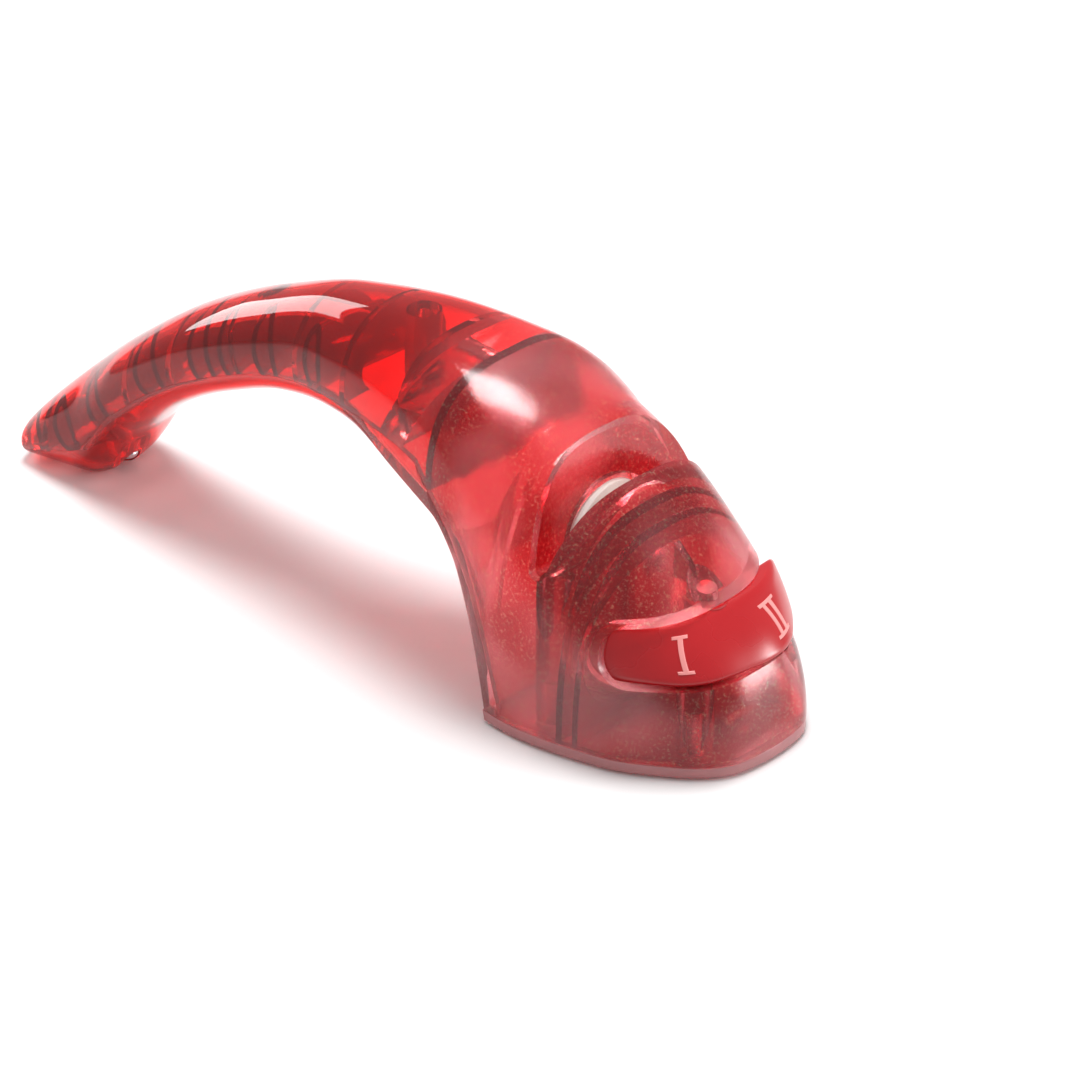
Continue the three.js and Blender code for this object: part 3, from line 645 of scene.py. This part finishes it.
lower = shell_blank()
posts = None
for x, y in HANDLE_SCREWS:
    post = rod(POST_RADIUS, 0, seam_height(x) - GAP / 2, x, y)
    posts = add(posts, post) if posts else post
lower = add(lower, meet(posts, form("tool", WALL / 2)))
lower = meet(lower, prism(seam_outline(-SEAM_GAP / 2), REACH))
lower = cut(lower, block((ARCH_FOOT - 4, -REACH, -REACH), (2 * REACH, REACH, SHELL_FOOT)))
lower = cut(lower, block((tail(1.1), -REACH, -REACH), (tail(0.6), REACH, 0)))
for x, y in HANDLE_SCREWS:
    lower = cut(lower, rod(SCREW_HEAD_BORE, -REACH, under_line(x) + SEAT_DEPTH, x, y, 32))
    lower = cut(lower, rod(BORE_RADIUS, -REACH, REACH, x, y, 24))
put(finish_edges(lower), "lower_shell_moulding", "housing", CLEAR_RED, "clear_red", "lower_shell")

# ------------------------------------------------------------------ base plate and pads
# A flat plate in paler clear red closes the head from below and carries the mechanism. It is
# moulded with screw seats, three posts and three round pockets, and a rubber pad sits in each.

BASE_LOW = 0.6
BASE_TOP = 2.6
CARRIER_BOTTOM = 5.4
CARRIER_TOP = 7.9
FLANGE_BOTTOM = 6.3
FLANGE_TOP = 8.3
DETENT_X = PIVOT_X + 8.0
PIN_FLOOR = 1.6
HUB_RADIUS = 4.5
CARRIER_POST_RADIUS = 7.5
DETENT_POST_RADIUS = 3.2
DETENT_POST_DROP = 1.9
PAD_POCKET_RADIUS = 3.9
PAD_POCKET_TOP = 1.7
PADS = [(nose(6.5), 0), (nose(48), -19.0), (nose(48), 19.0)]


def turned_piece(profile, x=0.0, y=0.0, segments=64):
    piece = turned("tool", profile, segments)
    piece.data.transform(Matrix.Translation((x * MM, y * MM, 0)))
    return piece


def clouded(name, grain_size, change, colours, glosses, bump_strength=0.0, bump_mm=0.0):
    """Two colours and two roughnesses mixed in slow clouds, over a fine grain."""
    material, tree, shader = new_material(name)
    finish = place_group(tree, FINISH, Grain_Size=grain_size, Gloss_Change=change)
    cloud = finish.outputs["Cloud"]
    tree.links.new(mixed_colour(tree, cloud, *colours), shader.inputs["Base Color"])
    tree.links.new(mixed_value(tree, cloud, *glosses), shader.inputs["Roughness"])
    if bump_strength:
        bump = node(tree, "ShaderNodeBump", Strength=bump_strength, Distance=bump_mm * MM)
        tree.links.new(finish.outputs["Grain"], bump.inputs["Height"])
        tree.links.new(bump.outputs["Normal"], shader.inputs["Normal"])
    return material


# Satin, paler and a little cloudy, with the same fine mould texture.
PALE_RED = clouded("pale_red_plastic", 1800.0, 0.12, ((0.92, 0.42, 0.43), (0.95, 0.58, 0.57)),
                   (0.22, 0.5), 0.3, 0.03)
for socket, value in (("Transmission Weight", 0.6), ("IOR", 1.49)):
    PALE_RED.node_tree.nodes["Principled BSDF"].inputs[socket].default_value = value


let_down = form("plate")
let_down.data.transform(Matrix.Translation((0, 0, (BASE_LOW - SHELL_FOOT) * MM)))
plate = meet(let_down, block((ARCH_FOOT - 6, -REACH, BASE_LOW), (2 * REACH, REACH, BASE_TOP)))
for x, y in BASE_SCREWS:
    seat = rod(BOSS_RADIUS, BASE_LOW + 1, BASE_SEAT + 1.5, x, y)
    plate = add(plate, meet(seat, form("tool", WALL + GAP)))
plate = add(plate, rod(CARRIER_POST_RADIUS, BASE_LOW + 1, CARRIER_BOTTOM - GAP, SLOT_X))
plate = add(plate, rod(HUB_RADIUS, BASE_LOW + 1, FLANGE_BOTTOM - GAP, PIVOT_X))
detent_post = rod(DETENT_POST_RADIUS, BASE_LOW + 1, FLANGE_BOTTOM - DETENT_POST_DROP, DETENT_X)
plate = add(plate, detent_post)
for x, y in BASE_SCREWS:
    plate = cut(plate, rod(SCREW_HEAD_BORE, -1, BASE_SEAT, x, y))
    plate = cut(plate, rod(BORE_RADIUS, -1, REACH, x, y, 24))
for x, y in PADS:
    plate = cut(plate, rod(PAD_POCKET_RADIUS, -1, PAD_POCKET_TOP, x, y))
plate = cut(plate, rod(1.8, PIN_FLOOR, REACH, SLOT_X))
plate = cut(plate, rod(PIN_BORE, PIN_FLOOR, REACH, PIVOT_X))
plate = cut(plate, rod(1.3, PIN_FLOOR, REACH, DETENT_X))
put(finish_edges(plate, 0.2), "base_plate_moulding", "housing", PALE_RED, "pale_red",
    "base_plate")

# Matt black rubber, mottled where it has picked up dust.
PAD_RUBBER = clouded("matt_pad_rubber", 1500.0, 0.4, ((0.018, 0.018, 0.019), (0.05, 0.05, 0.05)),
                     (0.7, 0.9), 0.6, 0.05)
for number, (x, y) in enumerate(PADS, 1):
    profile = [(0, 0), (2.9, 0), (3.3, 0.06), (3.52, 0.2), (3.6, 0.4), (3.6, 1.3), (3.5, 1.4),
               (0, 1.4)]
    pad = turned_piece(profile, x, y)
    for ring in (1.2, 2.2):
        groove = [(ring, -1), (ring + 0.25, -1), (ring + 0.25, 0.2), (ring, 0.2)]
        pad = cut(pad, turned_piece(groove, x, y))
    put(finish_edges(pad, 0), f"rubber_pad_{number}", "housing", PAD_RUBBER, "pad_rubber",
        f"base_pad_{number}")

# ------------------------------------------------------------------ screws
# Seven equal pan-head tapping screws with a cross recess: rolled thread, bright zinc plate. Three
# come up into the handle's bosses and four through the base plate.


def steel_finish(name, colour, roughness):
    """Bright steel with fine tool marks and slow changes of gloss."""
    darker = tuple(0.8 * channel for channel in colour)
    glosses = (roughness, roughness + 0.3)
    material = clouded(name, 5200.0, 0.3, (colour, darker), glosses, 0.25, 0.01)
    material.node_tree.nodes["Principled BSDF"].inputs["Metallic"].default_value = 1
    return material


BRIGHT_ZINC = steel_finish("bright_zinc_plate", (0.72, 0.73, 0.75), 0.18)


def thread(x, y, seat):
    """Tapping thread from just under the head to a point: a helix cut into the shank."""
    segments = 32
    rows = 110
    rings = []
    for i in range(rows + 1):
        height = -0.2 + (SCREW_LENGTH + 0.2) * i / rows
        shank = min(1.3, 0.12 + (SCREW_LENGTH - height) * 0.75)
        ring = []
        for k in range(segments):
            phase = (height / 1.1 - k / segments) % 1
            crest = max(0.0, 1 - abs(2 * phase - 1) * 2.2)
            radius = shank * (0.74 + 0.26 * crest)
            angle = 2 * math.pi * k / segments
            ring.append((x + radius * math.cos(angle), y + radius * math.sin(angle), seat + height))
        rings.append(ring)
    return skinned("thread", rings)


def screw(x, y, seat):
    """Head down, its seat at the given height."""
    head = [(0, -1.6), (1.5, -1.58), (2.05, -1.45), (2.38, -1.15), (2.5, -0.8), (2.5, -0.1),
            (2.4, 0), (0, 0)]
    head = [(radius, seat + height) for radius, height in head]
    piece = add(turned_piece(head, x, y), thread(x, y, seat))
    for turn in (0, math.pi / 2):
        bar = block((-1.45, -0.4, -2.6), (1.45, 0.4, -0.7))
        place = Matrix.Translation(Vector((x, y, seat)) * MM)
        bar.data.transform(place @ Matrix.Rotation(turn, 4, "Z"))
        piece = cut(piece, bar)
    return finish_edges(piece, 0.05, 50, 1)


for number, (x, y) in enumerate(BASE_SCREWS, 1):
    put(screw(x, y, BASE_SEAT - GAP), f"base_plate_screw_{number}", "housing", BRIGHT_ZINC,
        "bright_steel", f"base_screw_{number}")
for number, (x, y) in enumerate(HANDLE_SCREWS, 1):
    put(screw(x, y, under_line(x) + SEAT_DEPTH - GAP), f"handle_shell_screw_{number}", "housing",
        BRIGHT_ZINC, "bright_steel", f"handle_screw_{number}")

# ------------------------------------------------------------------ pins and detent
# Turned steel: the pin that the selector rocks on, the shouldered screw that the carrier swivels
# on, and a sprung ball that clicks into a dimple in the selector at each stage.

GROUND_STEEL = steel_finish("ground_steel", (0.64, 0.65, 0.67), 0.14)
PIN_LOW = PIN_FLOOR + GAP
PIN_TOP = WINDOW_HIGH + 1.6
pin = turned_piece([(0, PIN_LOW), (1.75, PIN_LOW), (2, PIN_LOW + 0.25), (2, PIN_TOP - 0.35),
                    (1.65, PIN_TOP), (0, PIN_TOP)], PIVOT_X)
put(finish_edges(pin, 0), "selector_pin", "housing", GROUND_STEEL, "bright_steel", "rocker_pin")

shoulder = turned_piece([
    (0, PIN_LOW), (1.3, PIN_LOW), (1.5, PIN_LOW + 0.2), (1.5, CARRIER_BOTTOM),
    (2.5, CARRIER_BOTTOM), (2.5, CARRIER_TOP + 0.3), (3.9, CARRIER_TOP + 0.3),
    (4.0, CARRIER_TOP + 0.4), (4.0, CARRIER_TOP + 1.5), (3.7, CARRIER_TOP + 1.95), (3.2, CARRIER_TOP + 2.2),
    (1.8, CARRIER_TOP + 2.2), (1.8, CARRIER_TOP + 1.2), (0, CARRIER_TOP + 1.0),
], SLOT_X)
put(finish_edges(shoulder, 0), "carrier_screw", "housing", GROUND_STEEL, "bright_steel",
    "pivot_screw")

BALL_RADIUS = 1.0
BALL_MIDDLE = FLANGE_BOTTOM - GAP - BALL_RADIUS
turns = [math.pi * i / 24 for i in range(25)]
globe = [(BALL_RADIUS * math.sin(a), BALL_MIDDLE - BALL_RADIUS * math.cos(a)) for a in turns]
ball = turned_piece(globe, DETENT_X, 0, 48)
put(finish_edges(ball, 0), "click_ball", "housing", GROUND_STEEL, "bright_steel", "detent_ball")


def coil_spring(x, low, high, radius, wire, turns):
    steps = turns * 40
    sides = 12
    rings = []
    for i in range(steps + 1):
        angle = 2 * math.pi * turns * i / steps
        height = low + wire + (high - low - 2 * wire) * i / steps
        ring = []
        for k in range(sides):
            round_wire = 2 * math.pi * k / sides
            reach = radius + wire * math.cos(round_wire)
            ring.append((x + reach * math.cos(angle), reach * math.sin(angle),
                         height + wire * math.sin(round_wire)))
        rings.append(ring)
    return skinned("spring", rings)


SPRING_WIRE = 0.2
spring = coil_spring(DETENT_X, PIN_LOW, BALL_MIDDLE - BALL_RADIUS - 0.1,
                     BALL_RADIUS - SPRING_WIRE, SPRING_WIRE, 3)
put(finish_edges(spring, 0), "click_spring", "housing", GROUND_STEEL, "bright_steel",
    "detent_spring")

# ------------------------------------------------------------------ selector rocker
# The finger lever in the nose, moulded in solid satin red. Its face carries on the head's own
# curve; behind it are the hub on the pin, the fork that turns the carrier, and the detent arm.

FACE_THICK = 5.0
FACE_ROUND = 1.2
FORK_RADIUS = 8.5
FORK_LOW = 8.6
FORK_HIGH = 11.6
FORK_HALF = 4.1
FORK_SLOT_HALF = 1.7
DETENT_ARM_HALF = 3.6
DETENT_ARM_END = 2.2
DIMPLE_RADIUS = 0.9
DIMPLE_DEPTH = 0.6


def half_at(x, z):
    """Half width of the form at x and height z, or 0 outside it."""
    foot, widest, top, side, upper_power, lower_power = section_sizes(x, 0)
    power, reach = (upper_power, top - widest) if z > widest else (lower_power, widest - foot)
    share = abs(z - widest) / reach
    return side * (1 - share ** power) ** (1 / power) if share < 1 else 0


def face_reach(angle, z):
    """Distance from the pin's axis out to the form's surface, at an angle from +X."""
    near, far = 0.0, 40.0
    for _ in range(36):
        middle = (near + far) / 2
        x = PIVOT_X + middle * math.cos(angle)
        inside = x < NOSE and abs(middle * math.sin(angle)) < half_at(x, z)
        near, far = (middle, far) if inside else (near, middle)
    return near


def rounded(inside, radius):
    """How far a rounded edge has fallen away at a distance inside the edge."""
    short = max(radius - inside, 0)
    return radius - math.sqrt(max(radius ** 2 - short ** 2, 0))


def face_limits(x):
    """Lower and upper edge of the rocker's face at x, inside its window by the gap."""
    rear = WINDOW_REAR + GAP
    low = WINDOW_LOW + GAP + rounded(x - rear, WINDOW_LOW_CORNER - GAP)
    high = WINDOW_HIGH - GAP - rounded(x - rear, WINDOW_HIGH_CORNER - GAP)
    return low, high


def curved_patch(columns, limits, outer, inner, lean=0.0):
    """A closed slab on the face: columns of angles, rows between limits, and its two depths."""
    rows = 20
    grids = []
    for depth in (outer, inner):
        grid = []
        for angle in columns:
            low, high = limits(angle)
            column = []
            for j in range(rows + 1):
                share = (1 - math.cos(math.pi * j / rows)) / 2
                z = low + (high - low) * share
                turned_to = angle + lean * (z - middle_height)
                reach = face_reach(turned_to, z) - depth(angle, z, low, high)
                x = PIVOT_X + reach * math.cos(turned_to)
                column.append((x, reach * math.sin(turned_to), z))
            grid.append(column)
        grids.append(grid)
    across = len(columns)
    size = across * (rows + 1)
    points = [p for grid in grids for column in grid for p in column]
    faces = []
    for i in range(across - 1):
        for j in range(rows):
            a = i * (rows + 1) + j
            quad = (a, a + rows + 1, a + rows + 2, a + 1)
            faces.append(quad)
            faces.append(tuple(size + v for v in reversed(quad)))
    edge = [i * (rows + 1) for i in range(across)]
    edge += [(across - 1) * (rows + 1) + j for j in range(1, rows + 1)]
    edge += [i * (rows + 1) + rows for i in range(across - 2, -1, -1)]
    edge += [j for j in range(rows - 1, 0, -1)]
    for a, b in zip(edge, edge[1:] + edge[:1]):
        faces.append((b, a, size + a, size + b))
    return new_piece("patch", points, faces)


middle_height = (WINDOW_LOW + WINDOW_HIGH) / 2 + 1.8


def face_x(angle):
    return PIVOT_X + face_reach(angle, middle_height) * math.cos(angle)


widest_angle = math.radians(80)
while face_x(widest_angle) > WINDOW_REAR + GAP + 0.02:
    widest_angle += math.radians(0.1)


def face_depth(angle, z, low, high):
    inside = min(z - low, high - z, face_x(angle) - WINDOW_REAR - GAP)
    return rounded(inside, FACE_ROUND)


columns = [widest_angle * math.sin(math.pi / 2 * i / 48) for i in range(-48, 49)]
rocker = curved_patch(columns, lambda angle: face_limits(face_x(angle)), face_depth,
                      lambda angle, z, low, high: FACE_THICK)
web = block((PIVOT_X - 2, -REACH, 22.0), (NOSE, REACH, 25.0))
rocker = add(rocker, meet(web, form("tool", 1.5)))
rocker = add(rocker, rod(HUB_RADIUS, FLANGE_BOTTOM, WINDOW_HIGH - GAP, PIVOT_X))
fork = block((PIVOT_X - FORK_RADIUS - 2.5, -FORK_HALF, FORK_LOW), (PIVOT_X, FORK_HALF, FORK_HIGH))
fork = cut(fork, block((PIVOT_X - FORK_RADIUS - 4, -FORK_SLOT_HALF, 7),
                       (PIVOT_X - FORK_RADIUS + 2, FORK_SLOT_HALF, 13)))
rocker = add(rocker, fork)
rocker = add(rocker, block((PIVOT_X, -DETENT_ARM_HALF, FLANGE_BOTTOM),
                           (DETENT_X + DETENT_ARM_END, DETENT_ARM_HALF, FLANGE_TOP)))
for side in (-1, 1):
    dimple = rod(DIMPLE_RADIUS, FLANGE_BOTTOM - 1, FLANGE_BOTTOM + DIMPLE_DEPTH, DETENT_X)
    rocker = cut(rocker, turn_about(dimple, PIVOT_X, side * TILT))
rocker = cut(rocker, rod(PIN_BORE, 0, REACH, PIVOT_X))


# Solid deep red, spark-eroded satin, with a thin gloss over it.
SATIN_RED = clouded("satin_red_plastic", 2600.0, 0.2, ((0.47, 0.006, 0.010), (0.60, 0.014, 0.022)),
                    (0.26, 0.42), 0.35, 0.02)
for socket, value in (("Coat Weight", 0.25), ("Coat Roughness", 0.2)):
    SATIN_RED.node_tree.nodes["Principled BSDF"].inputs[socket].default_value = value

turn_about(rocker, PIVOT_X, -TILT)
put(finish_edges(rocker, 0, 40), "selector_rocker_moulding", "selector", SATIN_RED, "satin_red",
    "selector_rocker")

# ------------------------------------------------------------------ stage marks
# A serif one on the left end of the rocker and a serif two on the right, raised a fifth of a
# millimetre in the moulding and hot-foiled in pale salmon.

MARK_HALF_HEIGHT = 2.9
MARK_ANGLE = math.radians(62)
MARK_MIDDLE = 23.6
MARK_LEAN = 0.45


def stroke(middle_angle, offset, half_width_mm, low, high):
    """One raised bar on the face; offset and half width are arc lengths in millimetres."""
    radius = face_reach(middle_angle, middle_height)
    angles = [middle_angle + (offset + half_width_mm * i / 6) / radius for i in range(-6, 7)]
    edges = (angles[0], angles[-1])
    lean = math.copysign(MARK_LEAN, middle_angle) / radius

    def depth(angle, z, low_z, high_z):
        to_side = min(angle - edges[0], edges[1] - angle) * radius
        inside = min(z - low_z, high_z - z, to_side)
        return rounded(inside, 0.12) - 0.18

    return curved_patch(angles, lambda angle: (low, high), depth, lambda *place: 0.6, lean)


# Thin matt foil that lets the red under it show here and there.
FOIL = clouded("salmon_foil", 3000.0, 0.5, ((0.90, 0.34, 0.32), (0.80, 0.22, 0.22)), (0.4, 0.6))

for mark, side, bars in (("one", -1, (0.0,)), ("two", 1, (-0.95, 0.95))):
    serif_half = 1.25 + max(bars)
    strokes = [stroke(side * MARK_ANGLE, at, 0.42, MARK_MIDDLE - MARK_HALF_HEIGHT,
                      MARK_MIDDLE + MARK_HALF_HEIGHT) for at in bars]
    for end in (-1, 1):
        centre = MARK_MIDDLE + end * (MARK_HALF_HEIGHT - 0.22)
        strokes.append(stroke(side * MARK_ANGLE, 0, serif_half, centre - 0.25, centre + 0.25))
    numeral = strokes[0]
    for bar in strokes[1:]:
        numeral = add(numeral, bar)
    turn_about(numeral, PIVOT_X, -TILT)
    put(finish_edges(numeral, 0), f"stage_mark_{mark}", "selector", FOIL, "satin_red")

# ------------------------------------------------------------------ roll carrier
# A fork in natural nylon that holds the roll's axle and swivels on the base plate. A steel pin
# pressed into its arm runs in the selector's fork, so the two turn together.

CHEEK_IN = 5.6
CHEEK_OUT = 7.6
CHEEK_HALF = 6.5
CHEEK_CROWN = 4.0
ARM_HALF = 3.4
ARM = PIVOT_X - SLOT_X - FORK_RADIUS
CARRIER_TURN = math.atan2(FORK_RADIUS * math.sin(TILT), ARM)

# Warm white and waxy, with a soft bloom.
NYLON = clouded("natural_nylon", 1400.0, 0.5, ((0.82, 0.79, 0.72), (0.72, 0.69, 0.62)),
                (0.35, 0.6), 0.3, 0.03)

fork_body = rod(CHEEK_OUT + 1.5, CARRIER_BOTTOM, CARRIER_TOP, SLOT_X, 0, 96)
arm = block((SLOT_X, -ARM_HALF, CARRIER_BOTTOM), (SLOT_X + ARM + 3.6, ARM_HALF, CARRIER_TOP))
fork_body = add(fork_body, arm)
for side in (-1, 1):
    near, far = (CHEEK_IN, CHEEK_OUT) if side > 0 else (-CHEEK_OUT, -CHEEK_IN)
    crown = turn_to_x(rod(CHEEK_HALF, near, far, 0, 0, 96))
    crown = meet(crown, block((0, -REACH, 0), (REACH * 2, REACH, AXLE_HEIGHT + CHEEK_CROWN)))
    foot = block((SLOT_X + near, -CHEEK_HALF, CARRIER_BOTTOM + 0.5),
                 (SLOT_X + far, CHEEK_HALF, AXLE_HEIGHT))
    fork_body = add(fork_body, add(foot, crown))
fork_body = cut(fork_body, turn_to_x(rod(1.8, -REACH, REACH)))
fork_body = cut(fork_body, rod(2.8, 0, CARRIER_TOP + 4, SLOT_X))
fork_body = cut(fork_body, rod(1.7, 0, CARRIER_TOP + 1, SLOT_X + ARM))
turn_about(fork_body, SLOT_X, CARRIER_TURN)
put(finish_edges(fork_body, 0.3), "roll_fork", "carrier", NYLON, "white_nylon", "roll_carrier")

DRIVE_RADIUS = 1.4
drive = turned_piece([
    (0, CARRIER_BOTTOM), (1.25, CARRIER_BOTTOM), (DRIVE_RADIUS, CARRIER_BOTTOM + 0.15),
    (DRIVE_RADIUS, FORK_HIGH + 0.2), (1.1, FORK_HIGH + 0.5), (0, FORK_HIGH + 0.5),
], SLOT_X + ARM)
turn_about(drive, SLOT_X, CARRIER_TURN)
put(finish_edges(drive, 0), "fork_drive_pin", "carrier", GROUND_STEEL, "bright_steel", "drive_pin")

# ------------------------------------------------------------------ axle and clips
# A ground steel axle across the fork, grooved near each end for a push-on spring clip.

CLIP_FACE = 7.9
CLIP_THICK = 0.8
AXLE_HALF = 9.5
end_profile = [
    (0, AXLE_HALF), (1.2, AXLE_HALF), (1.5, AXLE_HALF - 0.3), (1.5, CLIP_FACE + CLIP_THICK + 0.15),
    (1.1, CLIP_FACE + CLIP_THICK + 0.15), (1.1, CLIP_FACE - 0.15), (1.5, CLIP_FACE - 0.15),
]
mirrored = [(radius, -height) for radius, height in reversed(end_profile)]
axle = turn_to_x(turned("axle", end_profile + mirrored))
turn_about(axle, SLOT_X, CARRIER_TURN)
put(finish_edges(axle, 0), "roll_axle_pin", "carrier", GROUND_STEEL, "bright_steel", "roll_axle")

for name, side in (("front", 1), ("rear", -1)):
    start = CLIP_FACE if side > 0 else -CLIP_FACE - CLIP_THICK
    ring = turn_to_x(turned("clip", [(1.4, start), (3.1, start), (3.2, start + 0.1),
                                     (3.2, start + 0.7), (3.1, start + CLIP_THICK),
                                     (1.4, start + CLIP_THICK)]))
    mouth = block((SLOT_X - REACH, -1.26, 0), (SLOT_X + REACH, 1.26, AXLE_HEIGHT))
    ring = cut(ring, mouth)
    turn_about(ring, SLOT_X, CARRIER_TURN)
    put(finish_edges(ring, 0.06, 50), f"axle_clip_{name}_ring", "carrier", GROUND_STEEL,
        "bright_steel", f"axle_clip_{name}")

# ------------------------------------------------------------------ ceramic roll
# Two pressed and fired ceramic discs, coned so that they make a V groove for the blade. They sit
# on a turned nylon bush that spins on the axle.


def fired_ceramic():
    """Fine unglazed abrasive, speckled, with faint grey where steel has rubbed off."""
    material, tree, shader = new_material("fired_ceramic")
    finish = place_group(tree, FINISH, Grain_Size=4200.0, Gloss_Change=0.9)
    colour = mixed_colour(tree, finish.outputs["Cloud"], (0.88, 0.85, 0.78), (0.60, 0.58, 0.54))
    speck = multiplied(tree, finish.outputs["Speck And Painted Glint"], 0.4)
    speckled = mixed_colour(tree, speck, colour, (1.0, 1.0, 0.97))
    tree.links.new(speckled, shader.inputs["Base Color"])
    tree.links.new(mixed_value(tree, finish.outputs["Cloud"], 0.6, 0.9), shader.inputs["Roughness"])
    bump = node(tree, "ShaderNodeBump", Strength=0.7, Distance=0.00005)
    tree.links.new(finish.outputs["Grain"], bump.inputs["Height"])
    tree.links.new(bump.outputs["Normal"], shader.inputs["Normal"])
    return material


bush = turn_to_x(turned("bush", [(1.8, -5.3), (2.3, -5.3), (2.4, -5.2), (2.4, 5.2), (2.3, 5.3),
                                 (1.8, 5.3)]))
turn_about(bush, SLOT_X, CARRIER_TURN)
put(finish_edges(bush, 0), "roll_bush_sleeve", "roll", NYLON, "white_nylon", "roll_bush")

CERAMIC = fired_ceramic()
FLANK = 7.0 * math.tan(math.radians(20))
for name, side in (("front", 1), ("rear", -1)):
    profile = [(2.7, 0.15), (7.0, 0.15), (13.7, 0.03 + FLANK), (13.95, 0.2 + FLANK),
               (14.0, 0.4 + FLANK), (14.0, 4.0), (13.0, 5.0), (11.0, 5.0), (10.6, 4.6), (6.0, 4.6),
               (5.6, 5.0), (2.7, 5.0)]
    disc = turned("disc", [(radius, side * depth) for radius, depth in profile], 128)
    disc = turn_about(turn_to_x(disc), SLOT_X, CARRIER_TURN)
    put(finish_edges(disc, 0), f"ceramic_disc_{name}", "roll", CERAMIC, "ceramic",
        f"roll_disc_{name}")

# ------------------------------------------------------------------ studio
# A plain pale floor, soft light from above and from both sides, and a long lens.

LENS_DISTANCE = 0.9
AZIMUTH = math.radians(41.86)
ELEVATION = math.radians(28.79)
AIM = Vector((41.24, 0, 25.84)) * MM


floor_mesh = bpy.data.meshes.new("floor")
floor_mesh.from_pydata([(-3, -3, 0), (3, -3, 0), (3, 3, 0), (-3, 3, 0)], [], [(0, 1, 2, 3)])
floor = bpy.data.objects.new("floor", floor_mesh)
pale_floor, _, pale_shader = new_material("pale_floor")
pale_shader.inputs["Base Color"].default_value = (0.86, 0.86, 0.86, 1)
pale_shader.inputs["Roughness"].default_value = 0.6
floor.data.materials.append(pale_floor)
bpy.context.scene.collection.objects.link(floor)


def soft_light(name, place, size, power, aim=(0.03, 0, 0.03)):
    lamp = bpy.data.lights.new(name, "AREA")
    lamp.shape = "RECTANGLE"
    lamp.size, lamp.size_y = size
    lamp.energy = power
    light = bpy.data.objects.new(name, lamp)
    light.location = place
    direction = Vector(aim) - Vector(place)
    light.rotation_euler = direction.to_track_quat("-Z", "Y").to_euler()
    bpy.context.scene.collection.objects.link(light)


soft_light("overhead", (-0.15, 0.2, 1.1), (0.5, 0.5), 13)
soft_light("left_side", (-1.1, 0.2, 0.5), (0.5, 0.5), 4.5)
soft_light("right_side", (0.70, 0.54, 0.14), (0.14, 0.4), 3.4, (0.09, 0, 0.02))

world = bpy.data.worlds.new("studio")
world.use_nodes = True
world.node_tree.nodes["Background"].inputs["Color"].default_value = (1, 1, 1, 1)
world.node_tree.nodes["Background"].inputs["Strength"].default_value = 0.42
bpy.context.scene.world = world
bpy.context.scene.view_settings.view_transform = "Standard"

lens = bpy.data.cameras.new("lens")
lens.lens = 150.9
lens.clip_start = 0.05
camera = bpy.data.objects.new("camera", lens)
back = Vector((
    math.sin(AZIMUTH) * math.cos(ELEVATION),
    -math.cos(AZIMUTH) * math.cos(ELEVATION),
    math.sin(ELEVATION),
))
camera.location = AIM + back * LENS_DISTANCE
camera.rotation_euler = back.to_track_quat("Z", "Y").to_euler()
bpy.context.scene.collection.objects.link(camera)
bpy.context.scene.camera = camera
